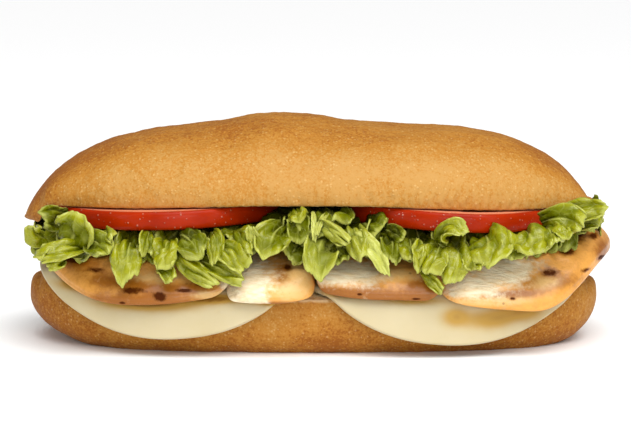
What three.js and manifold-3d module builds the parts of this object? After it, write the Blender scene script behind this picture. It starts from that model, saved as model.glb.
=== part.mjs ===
// A filled submarine roll: a long oval roll cut through level, with two large cheese slices that
// meet in the middle and hang over both long sides, four pieces of grilled chicken breast, a bed of
// torn green lettuce and two tomato slices. Millimetres, +Z up, X along the roll, front side at -Y.
import * as THREE from 'three';
import { mergeVertices } from 'three/addons/utils/BufferGeometryUtils.js';
import Module from 'manifold-3d';

const wasm = await Module();
wasm.setup();

// Driving dimensions
const GAP = 0.35; // clear space between two pieces that lie on each other
const CONTACT_GAP = 0.22; // least clear space, kept by a boolean cut where two curved faces come close
const MERGE = 0.08; // edges this close after a boolean cut are merged
const FOOT_SINK = 4.0; // the underside is flattened where it would reach this far below the table

const LOWER = {
  centreX: 1.1,
  halfLength: 87.2,
  halfWidth: 39.4,
  plan: [2.7, 2.3], // how full the outline is along and across, where 2 and 2 make an ellipse
  bulgeZ: 13.5, // height of the widest line
  rimInset: 4.2, // the cut's edge lies this far inside the widest line at the two ends
  sideInset: 0.9, // and this far at the long sides
  rimZ: 17.0, // cut's edge at the middle of the long sides
  leftRise: 6.4, // how much higher the edge is at each end
  rightRise: 4.6,
  fullness: 3.2, // of the section below the widest line, where 2 makes an ellipse
  leftTuck: 5.5, // how long the underside stays flat before it rounds up to each end
  rightTuck: 8.5,
  crown: 2.4, // the cut face stands this much higher along the middle than at its edge
};
const UPPER = {
  centreX: -0.2,
  halfLength: 87.5,
  halfWidth: 39.4,
  plan: [2.6, 2.25],
  cutZ: 44.1,
  sag: { left: 1.3, right: 2.0 }, // the cut is this much lower towards the ends than in the middle
  hook: { drop: 5.8, from: 0.897, to: 0.932 }, // the left end curls down, between these shares of its half
  noseZ: { left: 37.4, right: 42.0 }, // height of the outermost point of each end
  domeBase: 34.9,
  domeHeight: 30.9,
  domeRoundness: { left: 1.56, right: 1.72 },
  crest: { x: -10, height: 3.1, reachLeft: 13, reachRight: 20, fade: 5 },
  fullness: 2.3,
  lipTuck: 0.9, // the crust curls in by this much at the cut
};
const CHEESE = {
  thickness: 2.1,
  squareness: 2.2, // 2 is an ellipse
  foldRadius: 2.6, // where the bread's side is upright; more where the side bulges
  foldInset: 1.5, // the fold starts this far inside the cut's edge
  hangAngle: THREE.MathUtils.degToRad(84),
  lift: 0.15, // clear space under a slice, beyond the gap
};
// The slices meet at meetingX, where each one is cut straight
const CHEESE_SLICES = [
  { name: 'cheese_left', x: -38.0, y: -1.2, halfLength: 44.5, halfWidth: 50.0, meetingX: -2.0 },
  { name: 'cheese_right', x: 38.3, y: -2.6, halfLength: 45.3, halfWidth: 50.4, meetingX: -1.2 },
];

// Each piece of chicken: its ends in x, how far it reaches to the front at its left end, middle and
// right end, and to the back, its thickness, how square each end is in plan, how much thinner each tip
// is, how far each end leans along the roll for each millimetre of height, its climb to the right, and
// how far the right tip curls up
const CHICKEN = [
  {
    name: 'chicken_1',
    left: -82, right: -22, fronts: [47.4, 47.4, 44.4], back: 41, thick: 8.8,
    square: [2.6, 24], thin: [0.5, 0], lean: [0, 0.9], climb: 0, curl: 0,
  },
  {
    name: 'chicken_2',
    left: -21.3, right: 0.8, fronts: [46, 47, 44], back: 43, thick: 9.4,
    square: [12, 16], thin: [0, 0], lean: [0.9, -0.3], climb: 0, curl: 0,
  },
  {
    name: 'chicken_3',
    left: 1.3, right: 40.6, fronts: [42.8, 45.6, 45.6], back: 42, thick: 8.8,
    square: [24, 24], thin: [0, 0], lean: [-0.3, 1.2], climb: 0, curl: 0,
  },
  {
    name: 'chicken_4',
    left: 41.5, right: 92.4, fronts: [45.4, 48.2, 43.5], back: 41, thick: 9.0,
    square: [10, 2.5], thin: [0, 0.42], lean: [1.2, 0], climb: 0.01, curl: 6.4,
  },
];
// An end squarer than this is a cut: its edges are rounded by a share only, and it leans about this height
const CHICKEN_CUT = { square: 4, rounding: 0.4, height: 4.4 };
const CHICKEN_TIPS = { leftReach: 34, rightReach: 30, curlFrom: 28, curlTo: 2 }; // measured from each tip
const CHICKEN_EDGE = { from: 22, to: 48, thin: 0.45 }; // it thins by this share towards its front and back
const CHICKEN_OVERHANG = { centreX: 3, halfLength: 104, plan: [3.4, 1.8] }; // narrows it towards the ends
const CHICKEN_SLOPE = { from: 1.2, first: 0.42, second: 0.026 }; // fall of its underside past the roll's edge

const TOMATO = [
  { name: 'tomato_left', x: -42.0, y: -6.0, radius: 35.0, thick: 5.5 },
  { name: 'tomato_right', x: 41.6, y: -8.6, radius: 32.8, thick: 5.6 },
];

// The packed middle of the lettuce, and the part of it that stands up between the two tomato slices
const CORE = { centreX: 1, halfLength: 80, halfWidth: 33, plan: [2.6, 2.3] };
const BETWEEN = { left: -22, right: 24, halfDepth: 31, clear: 1.2, sink: 1.5 };
// A torn leaf: it starts this far inside the core's edge, its face is tilted up, its faces wave by the
// ruffle, and it can be moved outwards by up to maxRaise to find room, until enough of it is clear.
// A narrow one isn't split lengthwise
const LEAF = {
  thickness: 1.1, root: 8, narrow: 6.1, tilt: 0.35, ruffle: 0.9,
  maxRaise: 1.2, raiseStep: 0.4, enough: 0.85, least: 0.4,
};
// Torn leaves that show: x and height of the root, the point that the leaf bows towards, the tip, and
// the width
const FRONT_LEAVES = [
  [-69, 32, [-68, -45, 36.5], [-66.5, -43, 41.6], 11.5],
  [-78, 34, [-81, -38, 35], [-80.5, -40, 38.6], 6],
  [-66, 32, [-70, -47.5, 33.5], [-79.0, -43.5, 30.5], 6.5],
  [-72, 30.5, [-73, -46.5, 30.5], [-76, -45, 27.6], 6.5],
  [-66, 35, [-62, -47, 36.5], [-58, -47.5, 31.4], 7.5],
  [-60.5, 36.5, [-60.5, -45, 37.6], [-57, -46, 35.2], 5],
  [-52, 34, [-52.5, -48, 34.8], [-52.5, -48.2, 23.4], 8.4],
  [-47, 37, [-46.5, -46, 37.6], [-47.5, -47, 31], 4.6],
  [-41, 34, [-42, -48, 34.8], [-43.5, -48.3, 27.4], 7.8],
  [-38, 35.5, [-36, -46, 38.6], [-30.5, -47, 30.6], 9.5],
  [-39, 31, [-36, -47.5, 28], [-27.5, -48.5, 22.9], 5.2],
  [-28.5, 36.8, [-27, -47, 37.6], [-27.5, -47.5, 29.5], 4.8],
  [-27, 33, [-23, -48, 33.5], [-18.5, -48.5, 27.2], 8],
  [-32, 29, [-27, -47.5, 27.5], [-19, -48.3, 24.6], 6],
  [-21, 36.6, [-20.5, -46, 37.6], [-17.3, -47, 31.5], 4.2],
  [-7.5, 38.8, [-12, -47.5, 38], [-11.5, -48, 30.2], 10],
  [-13.5, 32, [-16.5, -47, 35], [-17.3, -46.5, 39.4], 3.6],
  [-4, 43, [-4, -42, 43.4], [-3.7, -43, 40.2], 5.6],
  [-3.5, 42, [-3, -43, 42], [-3.5, -44, 34], 6.5],
  [2.8, 39, [5, -47, 39], [11, -47.5, 34.5], 4.8],
  [4, 35, [2.5, -48, 35.5], [2.2, -48.5, 24.6], 9.5],
  [13, 37.6, [13.5, -47, 38], [15, -47.5, 30], 7],
  [13.5, 37, [17.5, -48, 36], [22.3, -48.6, 26], 4.8],
  [24, 35, [24, -46, 36], [24, -47, 28.6], 6.8],
  [29, 35, [29.5, -47, 35.6], [29.5, -47.5, 29.6], 7],
  [33, 33.6, [32.5, -48, 34], [31.8, -48.5, 25.8], 6.2],
  [38, 33, [36.5, -48, 33.6], [34.5, -48.5, 24.8], 7],
  [33, 33, [34.5, -51, 33], [38.5, -48.7, 20.4], 3],
  [38, 34, [38, -48, 41], [45.6, -48.3, 37.4], 6.5],
  [43, 32.6, [43.5, -48, 33.2], [40.8, -48.6, 22.8], 7.6],
  [49, 35, [50, -47, 36], [49.5, -47.8, 29], 8.6],
  [54.5, 35.6, [55.5, -47, 36.6], [55.5, -47.5, 30], 8.6],
  [60, 36.4, [61, -46.5, 37.2], [61.5, -47, 31.4], 8.6],
  [65, 37.4, [66, -46, 38.2], [67.5, -46.5, 33], 7.6],
  [71, 35, [73.5, -45.5, 40], [74.5, -46, 35.6], 5],
  [68, 39, [75, -42, 42.6], [79, -42.5, 38.8], 9],
  [72, 35, [80, -36, 44.2], [86.8, -37, 43.4], 6.2],
];
// Leaves of the back: they leave the core at rootZ and bend round its ends by up to the lean
const BACK_LEAVES = { count: 9, from: -78, to: 80, rootZ: 33.4, reach: 12, lean: 9, seed: 7 };

// Colour, roughness and metalness of each food
const LOOKS = {
  bread: new THREE.MeshStandardMaterial({ color: 0xc98c45, roughness: 0.75, metalness: 0 }),
  cheese: new THREE.MeshStandardMaterial({ color: 0xecdfba, roughness: 0.45, metalness: 0 }),
  chicken: new THREE.MeshStandardMaterial({ color: 0xdcb588, roughness: 0.5, metalness: 0 }),
  tomato: new THREE.MeshStandardMaterial({ color: 0xc1290f, roughness: 0.2, metalness: 0 }),
  lettuce: new THREE.MeshStandardMaterial({ color: 0x7fa52a, roughness: 0.4, metalness: 0 }),
};

// Shared forms
const superellipse = (t, n, m) => Math.pow(Math.max(0, 1 - Math.pow(Math.abs(t), n)), 1 / m);
const signedPower = (v, p) => Math.sign(v) * Math.pow(Math.abs(v), p);
// Smooth step from 0 where v is a to 1 where v is b, in either direction
const smooth = (a, b, v) => THREE.MathUtils.smoothstep((v - a) / (b - a), 0, 1);

// Slow unevenness of a hand-shaped piece, between about -1 and 1
const uneven = (x, y, seed) =>
  0.5 * Math.sin(0.071 * x + 0.053 * y + seed) +
  0.3 * Math.sin(0.16 * x - 0.11 * y + 2.3 * seed) +
  0.2 * Math.sin(0.29 * x + 0.21 * y + 4.1 * seed);

// A closed sphere whose vertices are moved by place(around, ring), with the poles at ring 0 and 1
function warpedSphere(around, along, place) {
  const geometry = new THREE.SphereGeometry(1, around, along);
  const position = geometry.getAttribute('position');
  const point = new THREE.Vector3();
  for (let row = 0, index = 0; row <= along; row++) {
    for (let column = 0; column <= around; column++, index++) {
      const turn = (column % around) / around;
      const atPole = row === 0 || row === along;
      place(atPole ? 0 : turn, row / along, point);
      position.setXYZ(index, point.x, point.y, point.z);
    }
  }
  geometry.deleteAttribute('normal');
  geometry.deleteAttribute('uv');
  return mergeVertices(geometry, 1e-4);
}

// Half the width at x of a piece with a rounded oval plan
const widthAt = (shape, x) =>
  shape.halfWidth * superellipse((x - shape.centreX) / shape.halfLength, ...shape.plan);

// Lower half of the roll, and the cut's edge, which is its rim
const RIM = {
  centreX: LOWER.centreX,
  halfLength: LOWER.halfLength - LOWER.rimInset,
  halfWidth: LOWER.halfWidth - LOWER.sideInset,
  plan: LOWER.plan,
};
const rimPowers = LOWER.plan.map((n) => 2 / n);

function lowerRimZ(x) {
  const t = (x - LOWER.centreX) / LOWER.halfLength;
  const rise = t < 0 ? LOWER.leftRise : LOWER.rightRise;
  return LOWER.rimZ + rise * Math.pow(Math.abs(t), 3);
}

const rimAt = (angle) =>
  new THREE.Vector2(
    RIM.centreX + RIM.halfLength * signedPower(Math.cos(angle), rimPowers[0]),
    RIM.halfWidth * signedPower(Math.sin(angle), rimPowers[1]),
  );
const rimInsetAt = (angle) =>
  Math.hypot(
    LOWER.rimInset * signedPower(Math.cos(angle), rimPowers[0]),
    LOWER.sideInset * signedPower(Math.sin(angle), rimPowers[1]),
  );

function lowerCutZ(x, y) {
  const t = Math.min(1, Math.abs(x - RIM.centreX) / RIM.halfLength);
  const width = Math.max(widthAt(RIM, x), 1);
  const across = Math.min(1, Math.abs(y) / width);
  return lowerRimZ(x) + LOWER.crown * (1 - Math.pow(t, 4)) * (1 - Math.pow(across, 2.4));
}

function lowerHalf() {
  const faceShare = 0.34; // share of the section that is the cut face
  const shoulderShare = 0.06;
  return warpedSphere(26, 34, (turn, ring, out) => {
    const t = -Math.cos(Math.PI * ring);
    const x = LOWER.centreX + LOWER.halfLength * t;
    const width = widthAt(LOWER, x);
    const rim = Math.min(widthAt(RIM, x), width);
    const blunt = superellipse(t, 8, 4);
    const under = superellipse(t, t < 0 ? LOWER.leftTuck : LOWER.rightTuck, 1.7);
    const mirrored = turn > 0.5 ? 1 - turn : turn; // 0 is mid cut face, 0.5 mid underside
    const side = turn > 0.5 ? -1 : 1;
    const rimZ = LOWER.bulgeZ + (lowerRimZ(x) - LOWER.bulgeZ) * blunt;
    let y, z;
    if (mirrored < faceShare / 2) {
      y = (rim * mirrored) / (faceShare / 2);
      z = rimZ + (lowerCutZ(x, y) - lowerRimZ(x)) * blunt;
    } else if (mirrored < faceShare / 2 + shoulderShare) {
      const k = ((mirrored - faceShare / 2) / shoulderShare) * (Math.PI / 2);
      y = rim + (width - rim) * Math.sin(k);
      z = rimZ - (rimZ - LOWER.bulgeZ) * (1 - Math.cos(k));
    } else {
      const start = faceShare / 2 + shoulderShare;
      const k = ((mirrored - start) / (0.5 - start)) * (Math.PI / 2);
      y = width * Math.pow(Math.cos(k), 2 / LOWER.fullness);
      z = LOWER.bulgeZ - (LOWER.bulgeZ + FOOT_SINK) * under * Math.pow(Math.sin(k), 2 / LOWER.fullness);
      y += 0.4 * uneven(x, z, 1.0) * Math.cos(k) * blunt;
    }
    out.set(x, side * y, Math.max(0, z));
  });
}

// Upper half of the roll
function upperCutZ(x) {
  const t = (x - UPPER.centreX) / UPPER.halfLength;
  const sag = t < 0 ? UPPER.sag.left : UPPER.sag.right;
  const hook = t < 0 ? UPPER.hook.drop * smooth(UPPER.hook.from, UPPER.hook.to, -t) : 0;
  return UPPER.cutZ - sag * smooth(0.1, 0.75, Math.abs(t)) - hook;
}

function upperDomeZ(x) {
  const t = (x - UPPER.centreX) / UPPER.halfLength;
  const roundness = t < 0 ? UPPER.domeRoundness.left : UPPER.domeRoundness.right;
  return UPPER.domeBase + UPPER.domeHeight * superellipse(t, 4, roundness);
}

// Height that the crest adds to the ridge at x
function crestZ(x) {
  const reach = x < UPPER.crest.x ? UPPER.crest.reachLeft : UPPER.crest.reachRight;
  return UPPER.crest.height * Math.exp(-Math.pow((x - UPPER.crest.x) / reach, 2));
}

function upperHalf() {
  const faceShare = 0.34;
  return warpedSphere(26, 34, (turn, ring, out) => {
    const t = -Math.cos(Math.PI * ring);
    const x = UPPER.centreX + UPPER.halfLength * t;
    const width = widthAt(UPPER, x);
    const nose = t < 0 ? UPPER.noseZ.left : UPPER.noseZ.right;
    const cut = nose + (upperCutZ(x) - nose) * superellipse(t, 12, 4);
    const top = Math.max(upperDomeZ(x), cut);
    const mirrored = turn > 0.5 ? 1 - turn : turn; // 0 is mid cut face, 0.5 the top of the dome
    const side = turn > 0.5 ? 1 : -1;
    const lip = Math.min(UPPER.lipTuck, 0.5 * width);
    let y, z;
    if (mirrored < faceShare / 2) {
      y = ((width - lip) * mirrored) / (faceShare / 2);
      z = cut;
    } else {
      const k = ((mirrored - faceShare / 2) / (0.5 - faceShare / 2)) * (Math.PI / 2);
      const rise = Math.pow(Math.sin(k), 2 / UPPER.fullness);
      y = width * Math.pow(Math.cos(k), 2 / UPPER.fullness) - lip * Math.pow(1 - rise, 6);
      z = cut + (top - cut) * rise + crestZ(x) * Math.pow(rise, UPPER.crest.fade);
      z += 0.4 * uneven(x, y, 3.0) * rise * superellipse(t, 4, 2);
    }
    out.set(x, side * y, z);
  });
}

// Nearest point of the cut's edge to (x, y), its outward normal, and how far outside it the point is
const rimSteps = 720;
const rimLine = Array.from({ length: rimSteps }, (_, i) => rimAt((i / rimSteps) * 2 * Math.PI));
function edgeBeside(x, y) {
  let best = 0;
  let bestDistance = Infinity;
  rimLine.forEach((p, i) => {
    const distance = (p.x - x) ** 2 + (p.y - y) ** 2;
    if (distance < bestDistance) [best, bestDistance] = [i, distance];
  });
  const before = rimLine[(best + rimSteps - 3) % rimSteps];
  const after = rimLine[(best + 3) % rimSteps];
  const normal = new THREE.Vector2(after.y - before.y, before.x - after.x).normalize();
  const foot = rimLine[best];
  const outside = (x - foot.x) * normal.x + (y - foot.y) * normal.y;
  return { foot, normal, outside, inset: rimInsetAt((best / rimSteps) * 2 * Math.PI) };
}

// A cheese slice lies on the lower half and folds down over its edge, at the front and at the back
function cheeseSlice(slice) {
  const half = CHEESE.thickness / 2;
  const rings = 12;
  return warpedSphere(32, rings, (turn, ring, out) => {
    const upward = ring < 0.5 ? 1 : -1;
    const steps = Math.min(ring, 1 - ring) * rings; // 0 at a pole, rings / 2 at the slice's edge
    const onEdge = steps > rings / 2 - 0.5;
    const reach = onEdge ? 1 : (0.985 * steps) / (rings / 2 - 1);
    const level = onEdge ? 0 : upward;
    const angle = turn * 2 * Math.PI;
    const power = 2 / CHEESE.squareness;
    const x = slice.x + slice.halfLength * reach * signedPower(Math.cos(angle), power);
    const y = slice.y + slice.halfWidth * reach * signedPower(Math.sin(angle), power);
    const { foot, normal, outside, inset } = edgeBeside(x, y);
    const radius = CHEESE.foldRadius + inset;
    const offset = GAP + CHEESE.lift + half + level * half;
    if (outside < -CHEESE.foldInset) {
      out.set(x, y, lowerCutZ(x, y) + offset);
      return;
    }
    const length = outside + CHEESE.foldInset;
    const bend = Math.min(length / (radius + half), CHEESE.hangAngle);
    const straight = length - bend * (radius + half);
    const from = lowerCutZ(foot.x - normal.x * CHEESE.foldInset, foot.y - normal.y * CHEESE.foldInset);
    const lateral = -CHEESE.foldInset + (radius + offset) * Math.sin(bend) + straight * Math.cos(bend);
    const drop = (radius + offset) * (1 - Math.cos(bend)) + straight * Math.sin(bend);
    out.set(foot.x + normal.x * lateral, foot.y + normal.y * lateral, from + offset - drop);
  });
}

// Height of the ground that the chicken lies on: the cheese, and past the roll's edge a slope
function chickenGround(x, y) {
  const above = 3 * GAP + CHEESE.thickness;
  const { foot, outside } = edgeBeside(x, y);
  if (outside < 0) return lowerCutZ(x, y) + above;
  const past = Math.max(0, outside - CHICKEN_SLOPE.from);
  return lowerRimZ(foot.x) + above - CHICKEN_SLOPE.first * past - CHICKEN_SLOPE.second * past * past;
}

function chickenThickness(piece, x, y) {
  const edge = 1 - CHICKEN_EDGE.thin * smooth(CHICKEN_EDGE.from, CHICKEN_EDGE.to, Math.abs(y));
  const leftTip = 1 - piece.thin[0] * smooth(CHICKEN_TIPS.leftReach, 0, x - piece.left);
  const rightTip = 1 - piece.thin[1] * smooth(CHICKEN_TIPS.rightReach, 0, piece.right - x);
  return piece.thick * edge * leftTip * rightTip * (1 + 0.035 * uneven(2 * x, 2 * y, piece.left));
}

const chickenBottomZ = (piece, x, y) =>
  chickenGround(x, y) +
  piece.climb * (x - piece.left) +
  piece.curl * smooth(CHICKEN_TIPS.curlFrom, CHICKEN_TIPS.curlTo, piece.right - x);

// How far a piece of chicken reaches to the front at x
function chickenFront(piece, x) {
  const s = (2 * x - piece.left - piece.right) / (piece.right - piece.left);
  const [left, middle, right] = piece.fronts;
  return middle + ((s < 0 ? left : right) - middle) * Math.min(1, s * s);
}

// How far a piece of chicken leans along the roll for each millimetre of height, at x
function chickenLean(piece, x) {
  const centre = (piece.left + piece.right) / 2;
  if (x < centre) return piece.lean[0] * smooth(centre, piece.left + 1, x);
  return piece.lean[1] * smooth(centre, piece.right - 1, x);
}

function chickenPiece(piece) {
  const centre = (piece.left + piece.right) / 2;
  const half = (piece.right - piece.left) / 2;
  const reaches = [0, 0.42, 0.76, 1, 1, 1, 1];
  const insetsOver = [0, 0, 0, 4.6, 1.9, 0.4, 0]; // how far each ring stays inside the outline, in mm
  const insetsUnder = [0, 0, 0, 2.2, 0.8, 0.2, 0];
  const levels = [1, 1, 1, 1, 0.88, 0.5, 0];
  return warpedSphere(32, 12, (turn, ring, out) => {
    const step = Math.round(Math.min(ring, 1 - ring) * 12);
    const reach = reaches[step];
    const level = levels[step] * (ring < 0.5 ? 1 : -1);
    const inset = ring < 0.5 ? insetsOver[step] : insetsUnder[step];
    const angle = turn * 2 * Math.PI;
    const across = Math.cos(angle);
    const deep = Math.sin(angle);
    const square = across < 0 ? piece.square[0] : piece.square[1];
    const radius = Math.pow(Math.abs(across) ** square + Math.abs(deep) ** square, -1 / square);
    const endInset = square > CHICKEN_CUT.square ? CHICKEN_CUT.rounding * inset : inset;
    const x = centre + (half * reach - endInset) * across * radius;
    const depth = deep < 0 ? chickenFront(piece, x) : piece.back;
    const alongRoll = (x - CHICKEN_OVERHANG.centreX) / CHICKEN_OVERHANG.halfLength;
    const narrowing = superellipse(alongRoll, ...CHICKEN_OVERHANG.plan);
    const y = (depth * reach - inset) * deep * radius * narrowing;
    const above = chickenThickness(piece, x, y) * (0.5 + 0.5 * level);
    const leaning = x + chickenLean(piece, x) * (above - CHICKEN_CUT.height);
    out.set(leaning, y, chickenBottomZ(piece, x, y) + above);
  });
}

// Top of the chicken at (x, y), or of the nearest piece where two pieces meet
function chickenTopZ(x, y) {
  const near = CHICKEN.filter((piece) => x > piece.left - 3 && x < piece.right + 3);
  const pieces = near.length ? near : [x < 0 ? CHICKEN[0] : CHICKEN[3]];
  return Math.max(...pieces.map((piece) => chickenBottomZ(piece, x, y) + chickenThickness(piece, x, y)));
}

// A tomato slice: a disc with rounded skin and slightly lobed outline
function tomatoSlice(slice) {
  const reaches = [0, 0.6, 0.965, 0.99, 1];
  const levels = [1, 1, 1, 0.72, 0];
  return warpedSphere(38, 8, (turn, ring, out) => {
    const step = Math.round(Math.min(ring, 1 - ring) * 8);
    const angle = turn * 2 * Math.PI;
    const lobe = 1 + 0.01 * Math.cos(5 * angle + 0.6) + 0.008 * Math.cos(2 * angle);
    const r = slice.radius * reaches[step] * lobe;
    const level = levels[step] * (ring < 0.5 ? 1 : -1);
    const x = slice.x + r * Math.cos(angle);
    const y = slice.y + r * Math.sin(angle);
    out.set(x, y, upperCutZ(x) - GAP - (slice.thick / 2) * (1 - level));
  });
}

// Boolean helpers
function solid(geometry) {
  return new wasm.Manifold(
    new wasm.Mesh({
      numProp: 3,
      vertProperties: new Float32Array(geometry.getAttribute('position').array),
      triVerts: new Uint32Array(geometry.index.array),
    }),
  );
}

function geometryOf(made) {
  const mesh = made.getMesh();
  return new THREE.BufferGeometry()
    .setAttribute('position', new THREE.BufferAttribute(new Float32Array(mesh.vertProperties), 3))
    .setIndex(new THREE.BufferAttribute(new Uint32Array(mesh.triVerts), 1));
}

// The largest separate body of a solid
const largest = (made) => made.decompose().sort((a, b) => b.volume() - a.volume())[0];

// The same form, with its surface moved outwards
function grown(geometry, by) {
  const bigger = geometry.clone();
  bigger.computeVertexNormals();
  const position = bigger.getAttribute('position');
  const normal = bigger.getAttribute('normal');
  for (let i = 0; i < position.count; i++) {
    position.setXYZ(
      i,
      position.getX(i) + by * normal.getX(i),
      position.getY(i) + by * normal.getY(i),
      position.getZ(i) + by * normal.getZ(i),
    );
  }
  bigger.deleteAttribute('normal');
  return solid(bigger);
}

// Top of the lettuce's packed bed, which the tomato slices lie on
const tomatoThick = Math.max(...TOMATO.map((slice) => slice.thick));
const bedTopZ = (x) => upperCutZ(x) - 3 * GAP - tomatoThick * (1 - smooth(76, 80, Math.abs(x)));

// Packed bed of the lettuce, between the chicken and the tomato
function lettuceBed() {
  const across = [0, 0.55, 1, 1, 0.55, 0, -0.55, -1, -1, -0.55];
  const onTop = [true, true, true, false, false, false, false, false, true, true];
  return warpedSphere(10, 20, (turn, ring, out) => {
    const step = Math.round(turn * 10);
    const t = -Math.cos(Math.PI * ring);
    const x = CORE.centreX + CORE.halfLength * t;
    const y = widthAt(CORE, x) * across[step];
    const bottom = chickenTopZ(x, y) + 3 * GAP;
    const top = Math.max(bedTopZ(x), bottom + 0.5);
    out.set(x, y, onTop[step] ? top : bottom);
  });
}

// Lettuce that fills the room between the two tomato slices, up to the roll's upper half
function lettuceBetweenTomatoes() {
  const [left, right] = TOMATO;
  const beside = (slice, y) => Math.sqrt(Math.max(0, slice.radius ** 2 - (y - slice.y) ** 2)) + BETWEEN.clear;
  return warpedSphere(16, 8, (turn, ring, out) => {
    const y = -BETWEEN.halfDepth * Math.cos(Math.PI * ring);
    const from = Math.max(left.x + beside(left, y), BETWEEN.left);
    const to = Math.min(right.x - beside(right, y), BETWEEN.right);
    const wide = Math.pow(Math.sin(Math.PI * ring), 1 / 4);
    const angle = turn * 2 * Math.PI;
    const x = (from + to) / 2 + ((to - from) / 2) * wide * signedPower(Math.cos(angle), 1 / 3);
    const top = upperCutZ(x) - 2 * GAP;
    const bottom = bedTopZ(x) - BETWEEN.sink;
    const z = (top + bottom) / 2 + ((top - bottom) / 2) * wide * signedPower(Math.sin(angle), 1 / 3);
    out.set(x, y, z);
  });
}

// A torn leaf: a thin wavy strip that leaves the core, bows over and ends in its tip
function leafStrip([rootX, rootZ, bowAt, tipAt, width], side, raise) {
  const along = 3;
  const across = width < LEAF.narrow ? 1 : 2;
  const edgeY = widthAt(CORE, rootX);
  const tomato = TOMATO.find((slice) => Math.abs(rootX - slice.x) < slice.radius - 4);
  const floor = chickenTopZ(rootX, side * edgeY) + GAP + LEAF.thickness;
  const ceiling = upperCutZ(rootX) - GAP - LEAF.thickness - (tomato ? tomato.thick + GAP : 0);
  const between = THREE.MathUtils.clamp(rootZ, floor, ceiling);
  const root = new THREE.Vector3(rootX, side * (edgeY - LEAF.root), between);
  const bow = new THREE.Vector3(...bowAt).add(new THREE.Vector3(0, side * raise, raise));
  const tip = new THREE.Vector3(...tipAt).add(new THREE.Vector3(0, side * raise, 0));
  const path = new THREE.QuadraticBezierCurve3(root, bow, tip);
  const facing = new THREE.Vector3(0, side, LEAF.tilt).normalize();
  const sideways = tip.clone().sub(bow).cross(facing).normalize();
  const seed = 0.37 * rootX + side;
  const points = [];
  for (let i = 0; i <= along; i++) {
    const s = i / along;
    const spine = path.getPoint(s);
    const normal = sideways.clone().cross(path.getTangent(s)).normalize();
    const swell = 0.62 + 0.42 * Math.sin(Math.PI * (0.1 + 0.78 * s));
    const half = 0.5 * width * swell * (i === along ? 0.7 : 1);
    for (let j = 0; j <= across; j++) {
      const v = (2 * j) / across - 1;
      const ruffle = LEAF.ruffle * s * Math.sin(2.6 * v + 3 * s + seed);
      points.push(spine.clone().addScaledVector(sideways, half * v).addScaledVector(normal, ruffle));
    }
  }
  return closedSheet(points, along, across, LEAF.thickness);
}

// A closed thin solid over a grid of points, with both faces split into triangles alike
function closedSheet(points, along, across, thickness) {
  const row = across + 1;
  const sheet = new THREE.PlaneGeometry(1, 1, across, along);
  points.forEach((p, i) => sheet.getAttribute('position').setXYZ(i, p.x, p.y, p.z));
  sheet.computeVertexNormals();
  const normal = sheet.getAttribute('normal');
  const index = Array.from(sheet.index.array);
  const count = points.length;
  const position = new Float32Array(count * 6);
  points.forEach((p, i) => {
    for (const [offset, way] of [[0, 0.5], [count, -0.5]]) {
      position[3 * (i + offset)] = p.x + way * thickness * normal.getX(i);
      position[3 * (i + offset) + 1] = p.y + way * thickness * normal.getY(i);
      position[3 * (i + offset) + 2] = p.z + way * thickness * normal.getZ(i);
    }
  });
  const border = [];
  for (let j = 0; j < across; j++) border.push(j);
  for (let i = 0; i < along; i++) border.push(i * row + across);
  for (let j = across; j > 0; j--) border.push(along * row + j);
  for (let i = along; i > 0; i--) border.push(i * row);
  const faces = [...index];
  for (let k = 0; k < index.length; k += 3) {
    faces.push(index[k] + count, index[k + 2] + count, index[k + 1] + count);
  }
  border.forEach((a, k) => {
    const b = border[(k + 1) % border.length];
    faces.push(a, b, a + count, b, b + count, a + count);
  });
  return new THREE.BufferGeometry()
    .setAttribute('position', new THREE.BufferAttribute(position, 3))
    .setIndex(faces);
}

// Seeded random numbers between 0 and 1
function seededRandom(seed) {
  const modulus = 2 ** 31 - 1;
  let state = seed;
  return () => {
    state = (state * 48271) % modulus;
    return state / modulus;
  };
}

// The lettuce: the core with every leaf that finds room between the pieces around it
function lettuce(neighbours) {
  const around = (by) => wasm.Manifold.union(neighbours.map((geometry) => grown(geometry, by)));
  const walls = around(GAP);
  const random = seededRandom(BACK_LEAVES.seed);
  const backLeaves = Array.from({ length: BACK_LEAVES.count }, (_, i) => {
    const share = (i + 0.25 + 0.5 * random()) / BACK_LEAVES.count;
    const x = THREE.MathUtils.lerp(BACK_LEAVES.from, BACK_LEAVES.to, share);
    const y = widthAt(CORE, x) + BACK_LEAVES.reach + 2 * random();
    const lean = BACK_LEAVES.lean * signedPower((x - CORE.centreX) / CORE.halfLength, 4);
    const bow = [x + 0.6 * lean, y, BACK_LEAVES.rootZ];
    const tip = [x + lean + 3 * random() - 1.5, y, 26 + 8 * random()];
    return [x, BACK_LEAVES.rootZ, bow, tip, 8 + 2 * random()];
  });
  const wanted = [...FRONT_LEAVES.map((leaf) => [leaf, -1]), ...backLeaves.map((leaf) => [leaf, 1])];
  const core = solid(lettuceBed()).add(solid(lettuceBetweenTomatoes()));
  let heap = largest(core.subtract(around(CONTACT_GAP)).simplify(MERGE / 2));
  for (const [leaf, side] of wanted) {
    let best = null;
    for (let raise = 0; raise <= LEAF.maxRaise; raise += LEAF.raiseStep) {
      const strip = solid(leafStrip(leaf, side, raise));
      const clear = largest(strip.subtract(walls));
      const share = clear.volume() / strip.volume();
      if (clear.intersect(heap).volume() > 1 && (!best || share > best.share)) best = { share, clear };
      if (best && best.share > LEAF.enough) break;
    }
    if (best && best.share > LEAF.least) heap = heap.add(best.clear);
  }
  return geometryOf(largest(heap.simplify(2 * MERGE)));
}

// A piece with what would touch the pieces under or over it taken away
function clearOf(geometry, neighbours) {
  let made = solid(geometry);
  for (const neighbour of neighbours) made = made.subtract(grown(neighbour, CONTACT_GAP));
  return geometryOf(largest(made.simplify(MERGE)));
}

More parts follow.
